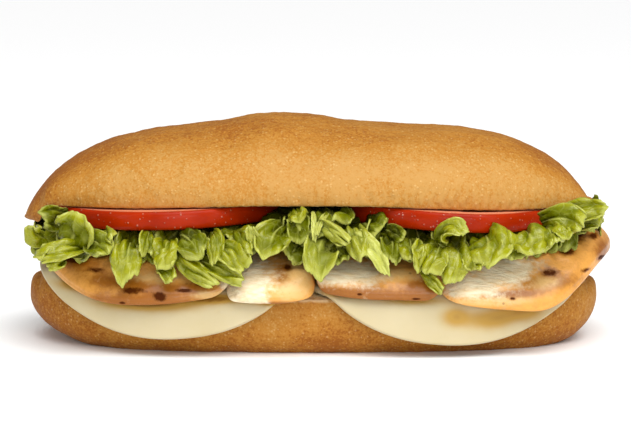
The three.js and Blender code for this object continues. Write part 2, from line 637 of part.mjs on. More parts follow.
const lower = lowerHalf();
const upper = upperHalf();
const cheese = CHEESE_SLICES.map((slice) => {
  const way = Math.sign(slice.x);
  return geometryOf(solid(cheeseSlice(slice)).trimByPlane([way, 0, 0], way * slice.meetingX));
});
const chicken = CHICKEN.map((piece) => chickenPiece(piece));
const tomato = TOMATO.map((slice) => tomatoSlice(slice));

const pieces = new Map([['bread_lower', lower], ['bread_upper', upper]]);
CHEESE_SLICES.forEach((slice, i) => pieces.set(slice.name, clearOf(cheese[i], [lower])));
CHICKEN.forEach((piece, i) => pieces.set(piece.name, clearOf(chicken[i], [lower, ...cheese])));
TOMATO.forEach((slice, i) => pieces.set(slice.name, clearOf(tomato[i], [upper])));
pieces.set('lettuce', lettuce([lower, upper, ...cheese, ...chicken, ...tomato]));

// The whole, with the middle of its bounding box's underside at the origin
const sandwich = new THREE.Group();
const box = new THREE.Box3();
for (const [name, geometry] of pieces) {
  const mesh = new THREE.Mesh(geometry, LOOKS[name.split('_')[0]]);
  mesh.name = name;
  sandwich.add(mesh);
  geometry.computeBoundingBox();
  box.union(geometry.boundingBox);
}
sandwich.position.set(-(box.min.x + box.max.x) / 2, -(box.min.y + box.max.y) / 2, -box.min.z);

export default sandwich;
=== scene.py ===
"""A filled submarine roll: crusty roll, cheese, grilled chicken breast, torn lettuce and tomato.

The pieces are shaped in the sandwich's own frame, in millimetres: X along the roll, the shown side
at -Y and Z up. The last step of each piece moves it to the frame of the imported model, in metres.
"""
import logging
import math
import random
from dataclasses import dataclass
from enum import Enum
from typing import Callable

import bmesh
import bpy
from mathutils import Euler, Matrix, Vector, kdtree, noise


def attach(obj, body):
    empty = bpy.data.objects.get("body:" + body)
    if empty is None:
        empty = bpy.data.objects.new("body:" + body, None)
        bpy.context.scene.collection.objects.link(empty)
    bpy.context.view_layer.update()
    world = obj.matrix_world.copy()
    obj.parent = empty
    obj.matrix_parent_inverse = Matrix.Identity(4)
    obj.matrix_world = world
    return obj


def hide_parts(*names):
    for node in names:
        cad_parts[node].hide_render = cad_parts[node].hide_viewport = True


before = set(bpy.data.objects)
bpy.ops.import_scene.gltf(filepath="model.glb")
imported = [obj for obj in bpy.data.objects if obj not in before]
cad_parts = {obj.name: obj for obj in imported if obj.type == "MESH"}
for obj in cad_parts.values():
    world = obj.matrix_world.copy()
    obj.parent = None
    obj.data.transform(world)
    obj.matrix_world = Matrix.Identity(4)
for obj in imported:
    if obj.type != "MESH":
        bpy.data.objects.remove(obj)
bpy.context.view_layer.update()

LOG = logging.getLogger("sandwich")

MM = 0.001
OWN_TO_FRAME = Vector((-2.350, 1.212, 0.0))
GAP = 0.35
CHEESE_THICKNESS = 2.1
BODY = "root"

Colour = tuple[float, float, float, float]
Layer = tuple[float, float, float]
Masks = dict[str, float]
Material = bpy.types.Material
Mesh = bmesh.types.BMesh
Node = bpy.types.Node
Place = Callable[[float, float, Masks], Vector]
Point = tuple[float, float, float]
Socket = bpy.types.NodeSocket
Spots = tuple[tuple[float, float, float, float], ...]
Tree = bpy.types.NodeTree


# Curves that several foods share


def superellipse(t: float, n: float, m: float) -> float:
    """Height of a superelliptic arch over t.

    Args:
        t: Place on the arch, from -1 to 1.
        n: How square the arch is along t.
        m: How square it is in height.

    Returns:
        1 in the middle, 0 at and past both ends.
    """
    return max(0.0, 1.0 - abs(t) ** n) ** (1.0 / m)


def signed_power(value: float, power: float) -> float:
    """The power of the value's size, with the value's sign."""
    return math.copysign(abs(value) ** power, value)


def smooth(a: float, b: float, value: float) -> float:
    """Smooth step from 0 where value is a to 1 where it is b, in either direction."""
    t = min(1.0, max(0.0, (value - a) / (b - a)))
    return t * t * (3.0 - 2.0 * t)


def blend(a: float, b: float, share: float) -> float:
    """The value that lies share of the way from a to b."""
    return a + (b - a) * share


def uneven(x: float, y: float, seed: float) -> float:
    """Slow unevenness of a hand-shaped piece, between about -1 and 1."""
    return (
        0.5 * math.sin(0.071 * x + 0.053 * y + seed)
        + 0.3 * math.sin(0.16 * x - 0.11 * y + 2.3 * seed)
        + 0.2 * math.sin(0.29 * x + 0.21 * y + 4.1 * seed)
    )


def lumps(point: Vector, size: float, seed: float = 0.0) -> float:
    """Smooth noise with lumps of about the size given, between about -1 and 1."""
    return noise.noise(point / size + Vector((seed, 1.7 * seed, -seed)))


def layered(point: Vector, *layers: Layer) -> float:
    """Sum of smooth noises, each given by its height, the size of its lumps and its seed."""
    return sum(height * lumps(point, size, seed) for height, size, seed in layers)


def marks(x: float, z: float, spots: Spots) -> float:
    """Strength of soft oval spots at one place.

    Args:
        x: Place along the roll.
        z: Height.
        spots: Each spot's middle, along the roll and in height, and half of its size each way.

    Returns:
        The sum of the spots, each 1 in its middle and falling softly to 0 around it.
    """
    return sum(math.exp(-(((x - px) / rx) ** 2) - ((z - pz) / rz) ** 2) for px, pz, rx, rz in spots)


# Bread


@dataclass(frozen=True)
class Oval:
    """A rounded oval outline seen from above."""

    centre_x: float
    half_length: float
    half_width: float
    plan: tuple[float, float]

    def width_at(self, x: float) -> float:
        """Half the width at x."""
        return self.half_width * superellipse((x - self.centre_x) / self.half_length, *self.plan)


@dataclass(frozen=True)
class LowerShape:
    """Sizes of the roll's lower half."""

    oval: Oval = Oval(1.1, 87.2, 39.4, (2.7, 2.3))
    rim: Oval = Oval(1.1, 83.0, 38.5, (2.7, 2.3))
    rim_inset: float = 4.2
    side_inset: float = 0.9
    bulge_z: float = 13.5
    rim_z: float = 17.0
    left_rise: float = 6.4
    right_rise: float = 4.6
    left_tuck: float = 5.5
    right_tuck: float = 8.5
    tuck_roundness: float = 1.7
    fullness: float = 3.2
    crown: float = 2.4
    foot_sink: float = 4.0

    def edge_z(self, x: float) -> float:
        """Height of the cut's edge at x."""
        t = (x - self.oval.centre_x) / self.oval.half_length
        rise = self.left_rise if t < 0 else self.right_rise
        return self.rim_z + rise * abs(t) ** 3

    def cut_z(self, x: float, y: float) -> float:
        """Height of the cut face at (x, y)."""
        t = min(1.0, abs(x - self.rim.centre_x) / self.rim.half_length)
        across = min(1.0, abs(y) / max(self.rim.width_at(x), 1.0))
        return self.edge_z(x) + self.crown * (1 - t**4) * (1 - across**2.4)


@dataclass(frozen=True)
class UpperShape:
    """Sizes of the roll's upper half."""

    oval: Oval = Oval(-0.2, 87.5, 39.4, (2.6, 2.25))
    cut_height: float = 44.1
    sag_left: float = 1.3
    sag_right: float = 2.0
    hook_drop: float = 5.8
    hook_from: float = 0.897
    hook_to: float = 0.932
    nose_left: float = 37.4
    nose_right: float = 42.0
    dome_base: float = 34.9
    dome_height: float = 30.9
    roundness_left: float = 1.56
    roundness_right: float = 1.72
    crest_x: float = -10.0
    crest_height: float = 3.1
    crest_left: float = 13.0
    crest_right: float = 20.0
    fullness: float = 2.3
    lip_tuck: float = 0.9

    def cut_z(self, x: float) -> float:
        """Height of the cut face at x."""
        t = (x - self.oval.centre_x) / self.oval.half_length
        sag = self.sag_left if t < 0 else self.sag_right
        hook = self.hook_drop * smooth(self.hook_from, self.hook_to, -t) if t < 0 else 0.0
        return self.cut_height - sag * smooth(0.1, 0.75, abs(t)) - hook

    def dome_z(self, x: float) -> float:
        """Height of the ridge of the dome at x."""
        t = (x - self.oval.centre_x) / self.oval.half_length
        roundness = self.roundness_left if t < 0 else self.roundness_right
        return self.dome_base + self.dome_height * superellipse(t, 4, roundness)

    def crest_z(self, x: float) -> float:
        """Height that the crest adds to the ridge at x."""
        reach = self.crest_left if x < self.crest_x else self.crest_right
        return self.crest_height * math.exp(-(((x - self.crest_x) / reach) ** 2))


LOWER = LowerShape()
UPPER = UpperShape()


def flat_food(ring: float, flat_share: float, fullness: float) -> tuple[float, float, float, int]:
    """Section of a flat food with a rounded edge.

    Args:
        ring: From 0 at the middle of the top to 1 at the middle of the underside.
        flat_share: Share of the rings on the flat faces.
        fullness: How full the rounded edge is; 2 is a half circle.

    Returns:
        How far out the place is on the flat face, its level from 1 on the face to 0 at the widest
        line, how far out it is on the rounded edge, and 1 on the upper side or -1 on the lower.
    """
    way = 1 if ring < 0.5 else -1
    from_pole = 2 * min(ring, 1 - ring)
    if from_pole < flat_share:
        return from_pole / flat_share, 1.0, 0.0, way
    k = (from_pole - flat_share) / (1 - flat_share) * math.pi / 2
    return 1.0, math.cos(k) ** (2 / fullness), math.sin(k) ** (2 / fullness), way


class RimLine:
    """The edge of the lower half's cut face, for finding the nearest point on it."""

    STEPS = 1440

    def __init__(self, shape: LowerShape) -> None:
        """Lays out the line's points.

        Args:
            shape: The lower half of the roll.
        """
        powers = [2 / n for n in shape.oval.plan]
        self.points: list[Vector] = []
        self.insets: list[float] = []
        for i in range(self.STEPS):
            angle = 2 * math.pi * i / self.STEPS
            c = signed_power(math.cos(angle), powers[0])
            s = signed_power(math.sin(angle), powers[1])
            rim = shape.rim
            self.points.append(Vector((rim.centre_x + rim.half_length * c, rim.half_width * s, 0)))
            self.insets.append(math.hypot(shape.rim_inset * c, shape.side_inset * s))
        self.tree = kdtree.KDTree(self.STEPS)
        for i, point in enumerate(self.points):
            self.tree.insert(point, i)
        self.tree.balance()

    def beside(self, x: float, y: float) -> tuple[Vector, Vector, float, float]:
        """Finds the edge nearest to a point.

        Args:
            x: Place along the roll.
            y: Place across it.

        Returns:
            The nearest point of the edge, its outward direction, how far outside the edge (x, y)
            is, and how far inside the widest line the edge is there.
        """
        point = Vector((x, y, 0))
        foot, index, _ = self.tree.find(point)
        before = self.points[index - 4]
        after = self.points[(index + 4) % self.STEPS]
        along = (after - before).normalized()
        normal = Vector((along.y, -along.x, 0))
        foot = foot + along * (point - foot).dot(along)
        return foot, normal, (point - foot).dot(normal), self.insets[index]


RIM = RimLine(LOWER)


# Meshes


def steps(count: int) -> int:
    """Number of mesh steps: the count as given."""
    return count


def warped_sphere(around: int, along: int, masks: list[str], place: Place) -> Mesh:
    """A closed sphere mesh whose vertices are moved one by one.

    Args:
        around: Number of segments round the poles.
        along: Number of rings from pole to pole.
        masks: Names of the values that each vertex carries for its finish.
        place: Gives a vertex's place from its turn and ring, both 0 to 1, and fills in its masks.

    Returns:
        The mesh, in millimetres.
    """
    bm = bmesh.new()
    bmesh.ops.create_uvsphere(bm, u_segments=around, v_segments=along, radius=1.0)
    layers = {name: bm.verts.layers.float.new(name) for name in masks}
    for vert in bm.verts:
        ring = math.acos(max(-1.0, min(1.0, vert.co.z))) / math.pi
        at_pole = ring < 1e-4 or ring > 1 - 1e-4
        turn = 0.0 if at_pole else (math.atan2(vert.co.y, vert.co.x) / (2 * math.pi)) % 1.0
        values: Masks = {}
        vert.co = place(turn, ring, values)
        for name, value in values.items():
            vert[layers[name]] = value
    return bm


def cut_straight(bm: Mesh, x: float, way: float) -> None:
    """Cuts a closed mesh straight across at x and closes the cut.

    Args:
        bm: The mesh.
        x: Where the cut is.
        way: 1 keeps what is on the +X side, -1 what is on the -X side.
    """
    geometry = [*bm.verts, *bm.edges, *bm.faces]
    bmesh.ops.bisect_plane(
        bm, geom=geometry, dist=1e-4, plane_co=(x, 0, 0), plane_no=(-way, 0, 0), clear_outer=True
    )
    open_edges = [edge for edge in bm.edges if edge.is_boundary]
    bmesh.ops.holes_fill(bm, edges=open_edges, sides=0)
    caps = [face for face in bm.faces if len(face.verts) > 4]
    bmesh.ops.triangulate(bm, faces=caps)


def make_piece(
    bm: Mesh,
    name: str,
    material: Material,
    node: str,
    closed: bool = True,
) -> bpy.types.Object:
    """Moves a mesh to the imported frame, in metres, and makes it a piece that replaces a CAD node.

    Args:
        bm: The mesh, in the sandwich's own frame in millimetres. It is freed.
        name: Name of the new object.
        material: Its material.
        node: The CAD node that it stands for.
        closed: Whether the mesh is a closed body, whose faces are then turned outwards.

    Returns:
        The new object.
    """
    for vert in bm.verts:
        vert.co = (vert.co + OWN_TO_FRAME) * MM
    if closed:
        bmesh.ops.recalc_face_normals(bm, faces=bm.faces)
        if bm.calc_volume(signed=True) < 0:
            bmesh.ops.reverse_faces(bm, faces=bm.faces)
    mesh = bpy.data.meshes.new(name)
    bm.to_mesh(mesh)
    bm.free()
    mesh.polygons.foreach_set("use_smooth", [True] * len(mesh.polygons))
    mesh.materials.append(material)
    piece = bpy.data.objects.new(name, mesh)
    bpy.context.scene.collection.objects.link(piece)
    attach(piece, BODY)
    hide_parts(node)
    LOG.info("%s: %d faces", name, len(mesh.polygons))
    return piece


# Shader helpers


class Sheet:
    """Adds nodes to one node tree."""

    def __init__(self, tree: Tree) -> None:
        """Starts on a tree."""
        self.tree = tree
        self.count = 0

    def node(self, kind: str, **settings: object) -> Node:
        """Adds a node.

        Args:
            kind: The node's type name.
            **settings: Properties of the node, set on it by name.

        Returns:
            The node.
        """
        made = self.tree.nodes.new(kind)
        made.location = (190 * (self.count % 9) - 1700, 800 - 260 * (self.count // 9))
        self.count += 1
        for name, value in settings.items():
            setattr(made, name, value)
        return made

    def feed(self, socket: Socket, value: object) -> None:
        """Links a socket to another socket, or sets it to a plain value."""
        if isinstance(value, Socket):
            self.tree.links.new(value, socket)
        else:
            socket.default_value = value

    def math(self, operation: str, a: object, b: object = 0.0, clamp: bool = False) -> Socket:
        """A Math node's result.

        Args:
            operation: The node's operation.
            a: First input, a socket or a number.
            b: Second input.
            clamp: Whether the result stays between 0 and 1.

        Returns:
            The result's socket.
        """
        made = self.node("ShaderNodeMath", operation=operation, use_clamp=clamp)
        self.feed(made.inputs[0], a)
        self.feed(made.inputs[1], b)
        return made.outputs[0]

    def mix(self, factor: object, a: object, b: object) -> Socket:
        """A colour mix.

        Args:
            factor: How much of the second colour there is.
            a: First colour, a socket or four numbers.
            b: Second colour.

        Returns:
            The colour's socket.
        """
        made = self.node("ShaderNodeMix", data_type="RGBA", blend_type="MIX", clamp_factor=True)
        self.feed(made.inputs["Factor"], factor)
        self.feed(made.inputs[6], a)
        self.feed(made.inputs[7], b)
        return made.outputs[2]

    def span(
        self, value: object, low: float, high: float, to_low: float = 0, to_high: float = 1
    ) -> Socket:
        """A smooth step of a value.

        Args:
            value: The input.
            low: Input value that gives to_low.
            high: Input value that gives to_high.
            to_low: Result at the low end.
            to_high: Result at the high end.

        Returns:
            The result's socket.
        """
        made = self.node("ShaderNodeMapRange", interpolation_type="SMOOTHSTEP")
        self.feed(made.inputs["Value"], value)
        ends = {"From Min": low, "From Max": high, "To Min": to_low, "To Max": to_high}
        for name, end in ends.items():
            made.inputs[name].default_value = end
        return made.outputs["Result"]

    def mask(self, name: str) -> Socket:
        """The value that each vertex carries under a name."""
        return self.node("ShaderNodeAttribute", attribute_name=name).outputs["Fac"]

    def place(self) -> Socket:
        """Place on the object, in metres."""
        return self.node("ShaderNodeTexCoord").outputs["Object"]

    def group(self, tree: Tree, **inputs: object) -> Socket:
        """Places a node group, feeds its inputs by name and gives its one output."""
        made = self.node("ShaderNodeGroup", node_tree=tree)
        for name, value in inputs.items():
            self.feed(made.inputs[name.replace("_", " ")], value)
        return made.outputs[0]


class SharedEffects:
    """Node groups that several finishes use, each built once."""

    def __init__(self) -> None:
        """Builds the groups."""
        self.mottle = self.build_mottle()
        self.flecks = self.build_flecks()
        self.relief = self.build_relief()

    @staticmethod
    def start(name: str, inputs: dict[str, float], output: str) -> tuple[Sheet, Node, Node]:
        """Starts a group with a Vector input and float inputs.

        Args:
            name: The group's name.
            inputs: Names of the float inputs, with their usual values.
            output: Name of the one output.

        Returns:
            A sheet on the group, its input node and its output node.
        """
        tree = bpy.data.node_groups.new(name, "ShaderNodeTree")
        tree.interface.new_socket("Vector", in_out="INPUT", socket_type="NodeSocketVector")
        for key, value in inputs.items():
            socket = tree.interface.new_socket(key, in_out="INPUT", socket_type="NodeSocketFloat")
            socket.default_value = value
        tree.interface.new_socket(output, in_out="OUTPUT", socket_type="NodeSocketFloat")
        sheet = Sheet(tree)
        return sheet, sheet.node("NodeGroupInput"), sheet.node("NodeGroupOutput")

    def build_mottle(self) -> Tree:
        """Cloudy variation: smooth noise, pushed towards its light and dark ends."""
        values = {"Scale": 60.0, "Contrast": 2.0, "Level": 0.5}
        sheet, given, result = self.start("cloudy_mottle", values, "Mask")
        cloud = sheet.node("ShaderNodeTexNoise")
        cloud.inputs["Detail"].default_value = 4.0
        cloud.inputs["Roughness"].default_value = 0.6
        sheet.feed(cloud.inputs["Vector"], given.outputs["Vector"])
        sheet.feed(cloud.inputs["Scale"], given.outputs["Scale"])
        centred = sheet.math("SUBTRACT", cloud.outputs["Fac"], given.outputs["Level"])
        pushed = sheet.math("MULTIPLY", centred, given.outputs["Contrast"])
        sheet.feed(result.inputs["Mask"], sheet.math("ADD", pushed, 0.5, clamp=True))
        return sheet.tree

    def build_flecks(self) -> Tree:
        """Small round flecks of random size, in a share of the cells of a random grid."""
        values = {"Scale": 500.0, "Size": 0.3, "Share": 0.5}
        sheet, given, result = self.start("round_flecks", values, "Mask")
        cells = sheet.node("ShaderNodeTexVoronoi")
        sheet.feed(cells.inputs["Vector"], given.outputs["Vector"])
        sheet.feed(cells.inputs["Scale"], given.outputs["Scale"])
        parts = sheet.node("ShaderNodeSeparateColor")
        sheet.feed(parts.inputs["Color"], cells.outputs["Color"])
        chosen = sheet.math("LESS_THAN", parts.outputs[0], given.outputs["Share"])
        own_size = sheet.math("MULTIPLY_ADD", parts.outputs[1], 0.7)
        own_size.node.inputs[2].default_value = 0.3
        size = sheet.math("MULTIPLY", own_size, given.outputs["Size"])
        shade = sheet.math("DIVIDE", cells.outputs["Distance"], size)
        round_form = sheet.math("SUBTRACT", 1.0, shade, clamp=True)
        sheet.feed(result.inputs["Mask"], sheet.math("MULTIPLY", round_form, chosen))
        return sheet.tree

    def build_relief(self) -> Tree:
        """Height of a rough surface: coarse and fine noise together."""
        values = {"Coarse": 300.0, "Fine": 1500.0, "Fine Share": 0.4}
        sheet, given, result = self.start("rough_relief", values, "Height")
        heights = []
        for key in ("Coarse", "Fine"):
            cloud = sheet.node("ShaderNodeTexNoise")
            cloud.inputs["Detail"].default_value = 3.0
            sheet.feed(cloud.inputs["Vector"], given.outputs["Vector"])
            sheet.feed(cloud.inputs["Scale"], given.outputs[key])
            heights.append(cloud.outputs["Fac"])
        fine = sheet.math("MULTIPLY", heights[1], given.outputs["Fine Share"])
        sheet.feed(result.inputs["Height"], sheet.math("ADD", heights[0], fine))
        return sheet.tree


class Finish:
    """A material with a Principled surface, filled in by each food's finish."""

    def __init__(self, name: str, effects: SharedEffects) -> None:
        """Starts an empty material.

        Args:
            name: The material's name.
            effects: The shared node groups.
        """
        self.effects = effects
        self.material = bpy.data.materials.new(name)
        self.material.use_nodes = True
        self.sheet = Sheet(self.material.node_tree)
        self.surface = self.material.node_tree.nodes["Principled BSDF"]
        self.at = self.sheet.place()

    def mottle(self, scale: float, contrast: float, at: Socket | None = None) -> Socket:
        """Cloudy variation between 0 and 1, over the object or at a place given."""
        where = self.at if at is None else at
        return self.sheet.group(self.effects.mottle, Vector=where, Scale=scale, Contrast=contrast)

    def flecks(self, scale: float, size: float, share: float) -> Socket:
        """Round flecks in a share of the cells of a random grid."""
        values = {"Vector": self.at, "Scale": scale, "Size": size, "Share": share}
        return self.sheet.group(self.effects.flecks, **values)

    def relief(self, coarse: float, fine: float, share: float) -> Socket:
        """Height of a rough surface of coarse noise, with a share of fine noise."""
        heights = {"Vector": self.at, "Coarse": coarse, "Fine": fine, "Fine_Share": share}
        return self.sheet.group(self.effects.relief, **heights)

    def bump(self, height: object, strength: float, distance_mm: float, under: object = None) -> Socket:
        """A Bump node.

        Args:
            height: Socket with the height.
            strength: Strength of the bump.
            distance_mm: Height of the relief where the input is 1.
            under: Normal to add to, from another bump.

        Returns:
            The normal's socket.
        """
        made = self.sheet.node("ShaderNodeBump")
        made.inputs["Strength"].default_value = strength
        made.inputs["Distance"].default_value = distance_mm * MM
        self.sheet.feed(made.inputs["Height"], height)
        if under is not None:
            self.sheet.feed(made.inputs["Normal"], under)
        return made.outputs["Normal"]

    def set(self, **values: object) -> None:
        """Feeds the surface's inputs by name, with underscores for spaces."""
        for name, value in values.items():
            self.sheet.feed(self.surface.inputs[name.replace("_", " ")], value)


class FoodFinish:
    """What the finishes of the foods share."""

    def paint(self, finish: Finish) -> None:
        """Fills in a food's material."""
        raise NotImplementedError

    def material(self, name: str, effects: SharedEffects) -> Material:
        """Makes a food's material from its name and the shared node groups."""
        finish = Finish(name, effects)
        self.paint(finish)
        return finish.material


@dataclass(frozen=True)
class BreadFinish(FoodFinish):
    """Baked crust, with soft crumb where the roll is cut."""

    pale: Colour = (0.43, 0.226, 0.056, 1)
    golden: Colour = (0.385, 0.163, 0.021, 1)
    brown: Colour = (0.265, 0.084, 0.008, 1)
    blister: Colour = (0.66, 0.44, 0.18, 1)
    crumb: Colour = (0.86, 0.71, 0.44, 1)
    crumb_deep: Colour = (0.60, 0.42, 0.20, 1)

    def paint(self, finish: Finish) -> None:
        """Paints crust, and crumb where the roll is cut.

        Args:
            finish: The material to fill in, which reads the mask of browning with painted shade, and
                the mask cut.
        """
        sheet = finish.sheet
        clouds = finish.mottle(55.0, 1.6)
        grain = finish.mottle(620.0, 1.5)
        bake = sheet.math("ADD", sheet.mask("bake"), sheet.span(clouds, 0, 1, -0.22, 0.22))
        speckle = finish.mottle(1500.0, 1.8)
        bake = sheet.math("ADD", bake, sheet.span(speckle, 0, 1, -0.34, 0.34))
        bake = sheet.math("ADD", bake, sheet.span(grain, 0, 1, -0.20, 0.20), clamp=True)
        # Higher values are browner: baking, with painted shade at the bottom, the left end and the
        # creases
        crust = sheet.mix(sheet.span(bake, 0.0, 0.55), self.pale, self.golden)
        crust = sheet.mix(sheet.span(bake, 0.5, 1.0), crust, self.brown)
        blisters = finish.flecks(1100.0, 0.6, 0.3)
        crust = sheet.mix(sheet.span(blisters, 0.05, 0.6, 0, 0.30), crust, self.blister)
        pores = finish.flecks(420.0, 0.75, 0.6)
        crumb = sheet.mix(sheet.span(pores, 0.1, 0.6), self.crumb, self.crumb_deep)
        cut = sheet.mask("cut")
        relief = finish.relief(420.0, 1900.0, 0.45)
        normal = finish.bump(relief, 0.7, 0.30)
        normal = finish.bump(blisters, 0.5, 0.22, normal)
        holes = sheet.math("MULTIPLY", sheet.math("MULTIPLY", pores, cut), -1.0)
        normal = finish.bump(holes, 0.8, 0.6, normal)
        finish.set(
            Base_Color=sheet.mix(cut, crust, crumb),
            Roughness=sheet.span(grain, 0, 1, 0.5, 0.7),
            Specular_IOR_Level=0.15,
            Normal=normal,
        )


@dataclass(frozen=True)
class CheeseFinish(FoodFinish):
    """Smooth pale cream cheese, with chicken juices and painted shadow below the chicken's edge."""

    cream: Colour = (0.52, 0.445, 0.28, 1)
    warm: Colour = (0.48, 0.40, 0.225, 1)
    # Yellow-brown, then dark brown below the chicken's edge: partly chicken juices, partly painted
    # shadow
    soaked_and_shaded: Colour = (0.40, 0.235, 0.040, 1)
    juice_and_shadow_dark: Colour = (0.17, 0.066, 0.005, 1)

    def paint(self, finish: Finish) -> None:
        """Paints pale cheese, with chicken juices and painted shadow where the chicken overhangs.

        Args:
            finish: The material to fill in, which reads the mask of chicken juices and painted shadow.
        """
        sheet = finish.sheet
        clouds = finish.mottle(70.0, 1.4)
        uneven_edge = sheet.span(clouds, 0, 1, -0.06, 0.06)
        # The mask holds chicken juices and painted shadow below the chicken's edge; the cheese turns
        # yellow-brown, then dark brown
        juice_and_shadow_level = sheet.math("ADD", sheet.mask("stain"), uneven_edge, clamp=True)
        plain = sheet.mix(clouds, self.cream, self.warm)
        soaked_and_shaded_colour = sheet.mix(sheet.span(juice_and_shadow_level, 0.0, 0.6), plain, self.soaked_and_shaded)
        eyes = finish.flecks(170.0, 0.16, 0.3)
        relief = finish.relief(120.0, 900.0, 0.12)
        normal = finish.bump(relief, 0.25, 0.3)
        normal = finish.bump(sheet.math("MULTIPLY", eyes, -1.0), 0.5, 0.2, normal)
        finish.set(
            Base_Color=sheet.mix(sheet.span(juice_and_shadow_level, 0.6, 1.0), soaked_and_shaded_colour, self.juice_and_shadow_dark),
            Roughness=sheet.span(clouds, 0, 1, 0.38, 0.5),
            Specular_IOR_Level=0.25,
            Subsurface_Weight=0.15,
            Subsurface_Radius=(1.0, 0.7, 0.35),
            Subsurface_Scale=2.5 * MM,
            Normal=normal,
        )


@dataclass(frozen=True)
class ChickenFinish(FoodFinish):
    """Grilled breast: golden skin side, pale fibrous meat where it is cut, dark grill marks."""

    seared: Colour = (0.70, 0.325, 0.062, 1)
    golden: Colour = (0.27, 0.086, 0.004, 1)
    meat: Colour = (0.80, 0.70, 0.50, 1)
    cream: Colour = (0.66, 0.42, 0.155, 1)
    char: Colour = (0.050, 0.009, 0.001, 1)

    def paint(self, finish: Finish) -> None:
        """Paints seared skin, cut meat and grill marks.

        Args:
            finish: The material to fill in, which reads the masks cut, brown, cream and char.
        """
        sheet = finish.sheet
        clouds = finish.mottle(130.0, 1.8)
        grain = finish.mottle(700.0, 1.6)
        stretch = sheet.node("ShaderNodeMapping")
        stretch.inputs["Rotation"].default_value = (0.0, math.radians(28), 0.0)
        stretch.inputs["Scale"].default_value = (0.30, 1.0, 1.25)
        sheet.feed(stretch.inputs["Vector"], finish.at)
        fibres = finish.mottle(850.0, 2.2, stretch.outputs["Vector"])
        large = sheet.span(clouds, 0, 1, -0.22, 0.22)
        patches = sheet.math("ADD", large, sheet.span(grain, 0, 1, -0.18, 0.18))
        cut = sheet.span(sheet.math("ADD", sheet.mask("cut"), patches), 0.15, 0.75)
        browned = sheet.span(sheet.math("ADD", sheet.mask("brown"), patches), -0.1, 1.0)
        skin = sheet.mix(browned, self.seared, self.golden)
        creamy = sheet.span(sheet.math("ADD", sheet.mask("cream"), patches), 0.1, 0.9)
        skin = sheet.mix(sheet.math("MULTIPLY", creamy, 0.75), skin, self.cream)
        skin = sheet.mix(sheet.span(grain, 0.0, 0.5, 0.3, 0.0), skin, self.golden)
        inside = sheet.mix(sheet.span(fibres, 0.0, 1.0, 0.0, 0.6), self.meat, self.cream)
        colour = sheet.mix(cut, skin, inside)
        pepper = finish.flecks(260.0, 0.22, 0.12)
        burnt = sheet.math("ADD", sheet.mask("char"), sheet.math("MULTIPLY", patches, 0.9))
        colour = sheet.mix(sheet.span(burnt, 0.10, 0.60, 0.0, 0.8), colour, self.golden)
        black = sheet.span(burnt, 0.42, 0.85, 0.0, 0.95)
        colour = sheet.mix(black, colour, self.char)
        colour = sheet.mix(sheet.span(pepper, 0.1, 0.5, 0.0, 0.45), colour, self.char)
        relief = finish.relief(330.0, 1300.0, 0.35)
        normal = finish.bump(relief, 0.6, 0.4)
        normal = finish.bump(sheet.math("MULTIPLY", fibres, cut), 0.7, 0.35, normal)
        finish.set(
            Base_Color=colour,
            Roughness=sheet.span(clouds, 0, 1, 0.30, 0.5),
            Specular_IOR_Level=sheet.span(black, 0, 1, 0.25, 0.03),
            Coat_Weight=sheet.span(black, 0, 1, 0.28, 0.0),
            Coat_Roughness=0.16,
            Subsurface_Weight=0.05,
            Subsurface_Radius=(1.0, 0.5, 0.25),
            Subsurface_Scale=1.5 * MM,
            Normal=normal,
        )


@dataclass(frozen=True)
class TomatoFinish(FoodFinish):
    """Wet red skin with painted glints at the drops, with pale pink flesh and seed chambers on the cut
    faces.
    """

    skin: Colour = (0.37, 0.022, 0.0005, 1)
    skin_deep: Colour = (0.25, 0.011, 0.0005, 1)
    # Pale colour of the painted glints at the drops
    drop_glint: Colour = (0.72, 0.30, 0.18, 1)
    flesh: Colour = (0.70, 0.20, 0.10, 1)
    wall: Colour = (0.74, 0.30, 0.17, 1)
    gel: Colour = (0.55, 0.10, 0.02, 1)

    def paint(self, finish: Finish) -> None:
        """Paints the skin and its drops, with painted glints at the drops, and flesh with seed chambers
        on the faces.

        Args:
            finish: The material to fill in, which reads the masks face and chamber.
        """
        sheet = finish.sheet
        clouds = finish.mottle(90.0, 1.6)
        grain = finish.mottle(900.0, 1.6)
        skin = sheet.mix(clouds, self.skin, self.skin_deep)
        inside = sheet.mix(grain, self.flesh, self.wall)
        inside = sheet.mix(sheet.mask("chamber"), inside, self.gel)
        drops = finish.flecks(1100.0, 0.5, 0.3)
        # Painted glints: the skin is paler at the drops
        skin = sheet.mix(sheet.span(drops, 0.15, 0.6, 0.0, 0.4), skin, self.drop_glint)
        relief = finish.relief(200.0, 1200.0, 0.3)
        face = sheet.mask("face")
        rough = sheet.math("MULTIPLY", relief, sheet.span(face, 0, 1, 0.12, 1.0))
        normal = finish.bump(rough, 0.5, 0.35)
        normal = finish.bump(drops, 0.9, 0.35, normal)
        finish.set(
            Base_Color=sheet.mix(face, skin, inside),
            Roughness=sheet.span(face, 0, 1, 0.28, 0.36),
            Specular_IOR_Level=0.08,
            Coat_Weight=sheet.span(drops, 0.0, 0.3, 0.03, 0.7),
            Coat_Roughness=0.12,
            Subsurface_Weight=0.06,
            Subsurface_Radius=(1.0, 0.25, 0.1),
            Subsurface_Scale=1.5 * MM,
            Normal=normal,
        )


